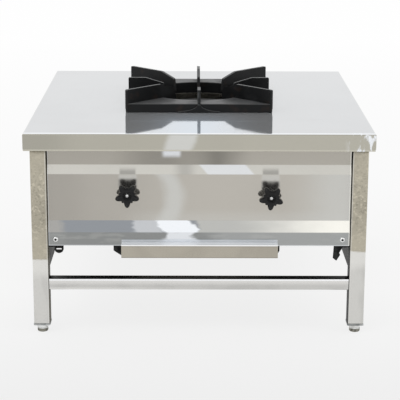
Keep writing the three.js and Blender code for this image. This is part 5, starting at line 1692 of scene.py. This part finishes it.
def gusset_mesh(name, sy, shape):
    """The flared foot of the front or rear fin."""
    base = low("pot_grate").z + 6 * MM + 0.4 * MM
    half, wide, tall, lip = 3.5 * MM, 48 * MM, 15 * MM, 3 * MM
    flare = []
    for k in range(13):
        angle = k / 12 * math.pi / 2
        flare.append((half + (wide - half) * (1 - math.cos(angle)), base + lip + tall * (1 - math.sin(angle))))
    right = flare + [(wide, base)]
    section = right + [(-u, v) for u, v in reversed(right)]
    outside, inside = high("pot_grate").y, 163 * MM
    loops = [[(u, sy * y, v) for u, v in section] for y in (inside, outside)]
    points, faces = bridge(loops)
    piece = new_piece(name, mesh_of(name, points, faces))
    bevel(piece, shape.cast_edge * 0.8, 3, 50.0)
    mesh = piece.data.copy()
    drop(piece)
    return mesh


def make_pot_grate(shape):
    """The cast grate: a square frame with a round rim, eight fins and two flared feet."""
    node = "pot_grate"
    base = low(node).z + 6 * MM + 0.3 * MM
    top, half, skin = base + 19.7 * MM, 167 * MM, 8 * MM
    opening, corner, edge = 118 * MM, 7 * MM, 2.2 * MM

    def square(inset, z):
        return square_loop(half - inset, half - inset, max(corner - inset, 1.2 * MM), z, 15)

    sample = square(0, top)

    def circle(radius, z):
        return matching_circle(sample, radius, z)

    loops = [square(skin, base + 0.6 * MM), square(skin - 0.6 * MM, base), square(1.8 * MM, base)]
    loops += [square(u, z) for u, z in arc(1.4 * MM, base + 1.4 * MM, 1.4 * MM, 270, 180, 4)]
    loops += [square(0, base + 2.4 * MM), square(0, top - edge - 1 * MM)]
    loops += [square(u, z) for u, z in arc(edge, top - edge, edge, 180, 90, 5)]
    loops += [square(edge + 1 * MM, top), circle(opening + edge + 1 * MM, top)]
    loops += [circle(r, z) for r, z in arc(opening + edge, top - edge, edge, 90, 180, 5)]
    loops += [circle(opening, top - edge - 1 * MM), circle(opening, low(node).z + 2.4 * MM)]
    loops += [circle(r, z) for r, z in arc(opening + 1.4 * MM, low(node).z + 1.4 * MM, 1.4 * MM, 180, 270, 4)]
    loops += [circle(opening + skin - 0.6 * MM, low(node).z), circle(opening + skin, low(node).z + 0.6 * MM),
              circle(opening + skin, top - skin - 2 * MM), circle(opening + skin + 2 * MM, top - skin)]
    loops += [square(skin + 2 * MM, top - skin), square(skin, top - skin - 2 * MM)]
    points, faces = bridge(loops, ring=True)
    frame_mesh = sharpen(mesh_of("grate_frame", points, faces), 60.0)
    parts = [frame_mesh, gusset_mesh("grate_foot", -1, shape), gusset_mesh("grate_foot", 1, shape)]
    for reach, start in ((half - 0.2 * MM, 0.0), (165 * MM * math.sqrt(2), math.pi / 4)):
        fin = fin_piece("grate_fin", reach, shape)
        row = new_piece("grate_fins", bpy.data.meshes.new("grate_fins"))
        run_tree(row, repeat_tree(), {"Piece": fin, "Count": 4, "Radius": 0.0, "Start": start,
                                      "Material": finish("cast_iron")})
        parts.append(row.data.copy())
        drop(row, fin)
    whole = joined("pot_grate_casting", parts)
    settle(new_piece("pot_grate_casting", whole), "pot_grate", "cast_iron", finish("cast_iron"), node)


# ---------------------------------------------------------------------------------------------
# Stage
# ---------------------------------------------------------------------------------------------


def floor_finish(stage):
    """A pale floor, whiter away from the viewer, that keeps a light shadow of the range."""
    material = bpy.data.materials.new("floor")
    material.use_nodes = True
    tree = material.node_tree
    shader = tree.nodes["Principled BSDF"]
    shader.inputs["Base Color"].default_value = stage.floor
    shader.inputs["Roughness"].default_value = 0.9
    shader.inputs["Specular IOR Level"].default_value = 0.0
    place = add(tree, "ShaderNodeTexCoord")
    away = add(tree, "ShaderNodeSeparateXYZ", {0: place.outputs["Object"]})
    near = add(tree, "ShaderNodeMapRange", {"Value": away.outputs["Y"], "From Min": -0.9, "From Max": -0.1,
                                            "To Min": stage.near_tone, "To Max": stage.middle_tone})
    far = add(tree, "ShaderNodeMapRange", {"Value": away.outputs["Y"], "From Min": 0.3, "From Max": 4.0,
                                           "To Min": 0.0, "To Max": stage.far_tone - stage.middle_tone})
    tone = add(tree, "ShaderNodeMath", {0: near.outputs["Result"], 1: far.outputs["Result"]}, operation="ADD")
    white = add(tree, "ShaderNodeEmission", {"Color": (1.0, 1.0, 1.0, 1.0), "Strength": tone.outputs[0]})
    path = add(tree, "ShaderNodeLightPath")
    seen = add(tree, "ShaderNodeMath", {0: path.outputs["Is Camera Ray"], 1: path.outputs["Is Glossy Ray"]},
               operation="MAXIMUM")
    seen = add(tree, "ShaderNodeMath", {0: seen.outputs[0], 1: path.outputs["Is Transmission Ray"]},
               operation="MAXIMUM")
    share_seen = add(tree, "ShaderNodeMath", {0: seen.outputs[0], 1: stage.floor_glow}, operation="MULTIPLY")
    both = add(tree, "ShaderNodeMixShader", {0: share_seen.outputs[0], 1: shader.outputs[0], 2: white.outputs[0]})
    tree.links.new(both.outputs[0], tree.nodes["Material Output"].inputs["Surface"])
    return material


def make_world(stage):
    """Even daylight, with white where the camera, a mirror or glass looks past the floor."""
    world = bpy.data.worlds.new("studio")
    world.use_nodes = True
    tree = world.node_tree
    ground = tree.nodes["Background"]
    ground.inputs["Color"].default_value = (1.0, 1.0, 1.0, 1.0)
    ground.inputs["Strength"].default_value = stage.daylight
    path = add(tree, "ShaderNodeLightPath")
    seen = add(tree, "ShaderNodeMath", {0: path.outputs["Is Camera Ray"], 1: path.outputs["Is Glossy Ray"]},
               operation="MAXIMUM")
    seen = add(tree, "ShaderNodeMath", {0: seen.outputs[0], 1: path.outputs["Is Transmission Ray"]},
               operation="MAXIMUM")
    white = add(tree, "ShaderNodeBackground", {"Color": (1.0, 1.0, 1.0, 1.0), "Strength": 1.0})
    both = add(tree, "ShaderNodeMixShader", {0: seen.outputs[0], 1: ground.outputs[0], 2: white.outputs[0]})
    tree.links.new(both.outputs[0], tree.nodes["World Output"].inputs["Surface"])
    bpy.context.scene.world = world


def make_lamp(name, place, aim, size, power):
    """A large soft square lamp."""
    light = bpy.data.lights.new(name, "AREA")
    light.shape = "RECTANGLE"
    light.size, light.size_y = size
    light.energy = power
    lamp = bpy.data.objects.new(name, light)
    bpy.context.scene.collection.objects.link(lamp)
    lamp.location = place
    lamp.rotation_mode = "QUATERNION"
    lamp.rotation_quaternion = (Vector(aim) - Vector(place)).to_track_quat("-Z", "Y")
    return lamp


def make_camera(stage):
    """The camera at the photograph's angle."""
    data = bpy.data.cameras.new("camera")
    data.sensor_width = 36.0
    data.lens = stage.lens
    data.clip_start, data.clip_end = 0.05, 200.0
    camera = bpy.data.objects.new("camera", data)
    bpy.context.scene.collection.objects.link(camera)
    c, s = math.cos(stage.yaw), math.sin(stage.yaw)
    down, level = math.sin(stage.pitch), math.cos(stage.pitch)
    across, upward = Vector((c, s, 0)), Vector((-s * down, c * down, level))
    ahead = Vector((-s * level, c * level, -down))
    cr, sr = math.cos(stage.roll), math.sin(stage.roll)
    right, up = across * cr + upward * sr, upward * cr - across * sr
    turn = Matrix((right, up, -ahead)).transposed()
    camera.matrix_world = Matrix.Translation(stage.camera_place) @ turn.to_4x4()
    bpy.context.scene.camera = camera


def make_stage(stage):
    """Floor, world, lamps and camera."""
    scene = bpy.context.scene
    scene.view_settings.view_transform = "Standard"
    size = 60.0
    points = [(-size, -size, 0), (size, -size, 0), (size, size, 0), (-size, size, 0)]
    mesh = bpy.data.meshes.new("floor")
    mesh.from_pydata(points, [], [(0, 1, 2, 3)])
    ground = new_piece("floor", mesh)
    ground.location.z = -0.0002
    mesh.materials.append(floor_finish(stage))
    make_world(stage)
    make_lamp("key_lamp", (-1.9, -2.2, 3.2), (0, 0, 0.3), (2.6, 2.0), stage.key_power)
    make_lamp("fill_lamp", (2.8, -1.4, 2.0), (0, 0, 0.3), (1.8, 2.0), stage.fill_power)
    make_camera(stage)


# ---------------------------------------------------------------------------------------------
# Operators, panel and registration
# ---------------------------------------------------------------------------------------------


class RangePieceOperator:
    """What the operators share: settings in, pieces out."""

    bl_options = {"REGISTER", "UNDO"}
    make = None

    def execute(self, context):
        type(self).make(context.scene.range_shape)
        return {"FINISHED"}


class RANGE_OT_worktop(RangePieceOperator, bpy.types.Operator):
    """Make the folded worktop with its lipped opening"""

    bl_idname = "range.worktop"
    bl_label = "Worktop"
    make = staticmethod(make_worktop)


class RANGE_OT_legs(RangePieceOperator, bpy.types.Operator):
    """Make the four legs and their end plates"""

    bl_idname = "range.legs"
    bl_label = "Legs"
    make = staticmethod(make_legs)


class RANGE_OT_feet(RangePieceOperator, bpy.types.Operator):
    """Make the four levelling feet with ridges and threads"""

    bl_idname = "range.feet"
    bl_label = "Levelling Feet"
    make = staticmethod(make_feet)


class RANGE_OT_stretchers(RangePieceOperator, bpy.types.Operator):
    """Make the two stretchers between the legs"""

    bl_idname = "range.stretchers"
    bl_label = "Stretchers"
    make = staticmethod(make_stretchers)


class RANGE_OT_bars(RangePieceOperator, bpy.types.Operator):
    """Make rails, cross angles, burner supports and saddles"""

    bl_idname = "range.bars"
    bl_label = "Rails and Bars"
    make = staticmethod(make_bars)


class RANGE_OT_front_panel(RangePieceOperator, bpy.types.Operator):
    """Make the faceted front panel"""

    bl_idname = "range.front_panel"
    bl_label = "Front Panel"
    make = staticmethod(make_front_panel)


class RANGE_OT_brackets(RangePieceOperator, bpy.types.Operator):
    """Make the brackets behind the front panel's lower corners"""

    bl_idname = "range.brackets"
    bl_label = "Panel Brackets"
    make = staticmethod(make_brackets)


class RANGE_OT_panel_screws(RangePieceOperator, bpy.types.Operator):
    """Make the front panel's pan-head screws"""

    bl_idname = "range.panel_screws"
    bl_label = "Panel Screws"
    make = staticmethod(make_panel_screws)


class RANGE_OT_side_panels(RangePieceOperator, bpy.types.Operator):
    """Make the side and rear panels"""

    bl_idname = "range.side_panels"
    bl_label = "Side and Rear Panels"
    make = staticmethod(make_side_panels)


class RANGE_OT_drip_tray(RangePieceOperator, bpy.types.Operator):
    """Make the drip tray with its folded handle"""

    bl_idname = "range.drip_tray"
    bl_label = "Drip Tray"
    make = staticmethod(make_drip_tray)


class RANGE_OT_tray_runners(RangePieceOperator, bpy.types.Operator):
    """Make the drip tray's runners"""

    bl_idname = "range.tray_runners"
    bl_label = "Tray Runners"
    make = staticmethod(make_tray_runners)


class RANGE_OT_knobs(RangePieceOperator, bpy.types.Operator):
    """Make the lobed knobs with their screws and stems"""

    bl_idname = "range.knobs"
    bl_label = "Knobs"
    make = staticmethod(make_knobs)


class RANGE_OT_burner_rings(RangePieceOperator, bpy.types.Operator):
    """Make the two burner troughs"""

    bl_idname = "range.burner_rings"
    bl_label = "Burner Rings"
    make = staticmethod(make_burner_rings)


class RANGE_OT_burner_caps(RangePieceOperator, bpy.types.Operator):
    """Make the two burner caps with their ports"""

    bl_idname = "range.burner_caps"
    bl_label = "Burner Caps"
    make = staticmethod(make_burner_caps)


class RANGE_OT_mixing_tubes(RangePieceOperator, bpy.types.Operator):
    """Make the mixing tubes and air shutters"""

    bl_idname = "range.mixing_tubes"
    bl_label = "Mixing Tubes"
    make = staticmethod(make_mixing_tubes)


class RANGE_OT_valves(RangePieceOperator, bpy.types.Operator):
    """Make the gas valves and their nozzles"""

    bl_idname = "range.valves"
    bl_label = "Gas Valves"
    make = staticmethod(make_valves)


class RANGE_OT_gas_line(RangePieceOperator, bpy.types.Operator):
    """Make the manifold, supply pipe and inlet"""

    bl_idname = "range.gas_line"
    bl_label = "Gas Line"
    make = staticmethod(make_gas_line)


class RANGE_OT_pot_grate(RangePieceOperator, bpy.types.Operator):
    """Make the cast pot grate with its eight fins"""

    bl_idname = "range.pot_grate"
    bl_label = "Pot Grate"
    make = staticmethod(make_pot_grate)


class RANGE_OT_stage(bpy.types.Operator):
    """Make the floor, the studio light and the camera"""

    bl_idname = "range.stage"
    bl_label = "Stage"
    bl_options = {"REGISTER", "UNDO"}

    def execute(self, context):
        make_stage(context.scene.range_stage)
        return {"FINISHED"}


PIECE_OPERATORS = (
    RANGE_OT_worktop, RANGE_OT_legs, RANGE_OT_feet, RANGE_OT_stretchers, RANGE_OT_bars,
    RANGE_OT_front_panel, RANGE_OT_brackets, RANGE_OT_panel_screws, RANGE_OT_side_panels,
    RANGE_OT_drip_tray, RANGE_OT_tray_runners, RANGE_OT_knobs, RANGE_OT_burner_rings,
    RANGE_OT_burner_caps, RANGE_OT_mixing_tubes, RANGE_OT_valves, RANGE_OT_gas_line,
    RANGE_OT_pot_grate,
)


class RANGE_PT_sidebar(bpy.types.Panel):
    """The range's pieces and settings."""

    bl_idname = "RANGE_PT_sidebar"
    bl_label = "Stock Pot Range"
    bl_space_type = "VIEW_3D"
    bl_region_type = "UI"
    bl_category = "Range"

    def draw(self, context):
        layout = self.layout
        for title, settings in (("Shape", context.scene.range_shape),
                                ("Finish", context.scene.range_finish),
                                ("Stage", context.scene.range_stage)):
            box = layout.box()
            box.label(text=title)
            for key in type(settings).__annotations__:
                box.prop(settings, key)
        for kind in (*PIECE_OPERATORS, RANGE_OT_stage):
            layout.operator(kind.bl_idname)


CLASSES = (
    RangeShapeSettings, RangeFinishSettings, RangeStageSettings, *PIECE_OPERATORS, RANGE_OT_stage,
    RANGE_PT_sidebar,
)


def register():
    """Adds the classes and the settings to Blender."""
    for kind in CLASSES:
        bpy.utils.register_class(kind)
    bpy.types.Scene.range_shape = bpy.props.PointerProperty(type=RangeShapeSettings)
    bpy.types.Scene.range_finish = bpy.props.PointerProperty(type=RangeFinishSettings)
    bpy.types.Scene.range_stage = bpy.props.PointerProperty(type=RangeStageSettings)


def unregister():
    """Takes them out again."""
    del bpy.types.Scene.range_stage
    del bpy.types.Scene.range_finish
    del bpy.types.Scene.range_shape
    for kind in reversed(CLASSES):
        bpy.utils.unregister_class(kind)


def write_sizes():
    """Brings the view layer up to date."""
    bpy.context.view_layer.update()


def main():
    """Makes every piece and the stage."""
    register()
    for kind in PIECE_OPERATORS:
        group, name = kind.bl_idname.split(".")
        getattr(getattr(bpy.ops, group), name)()
    bpy.ops.range.stage()
    write_sizes()


if __name__ == "__main__":
    main()
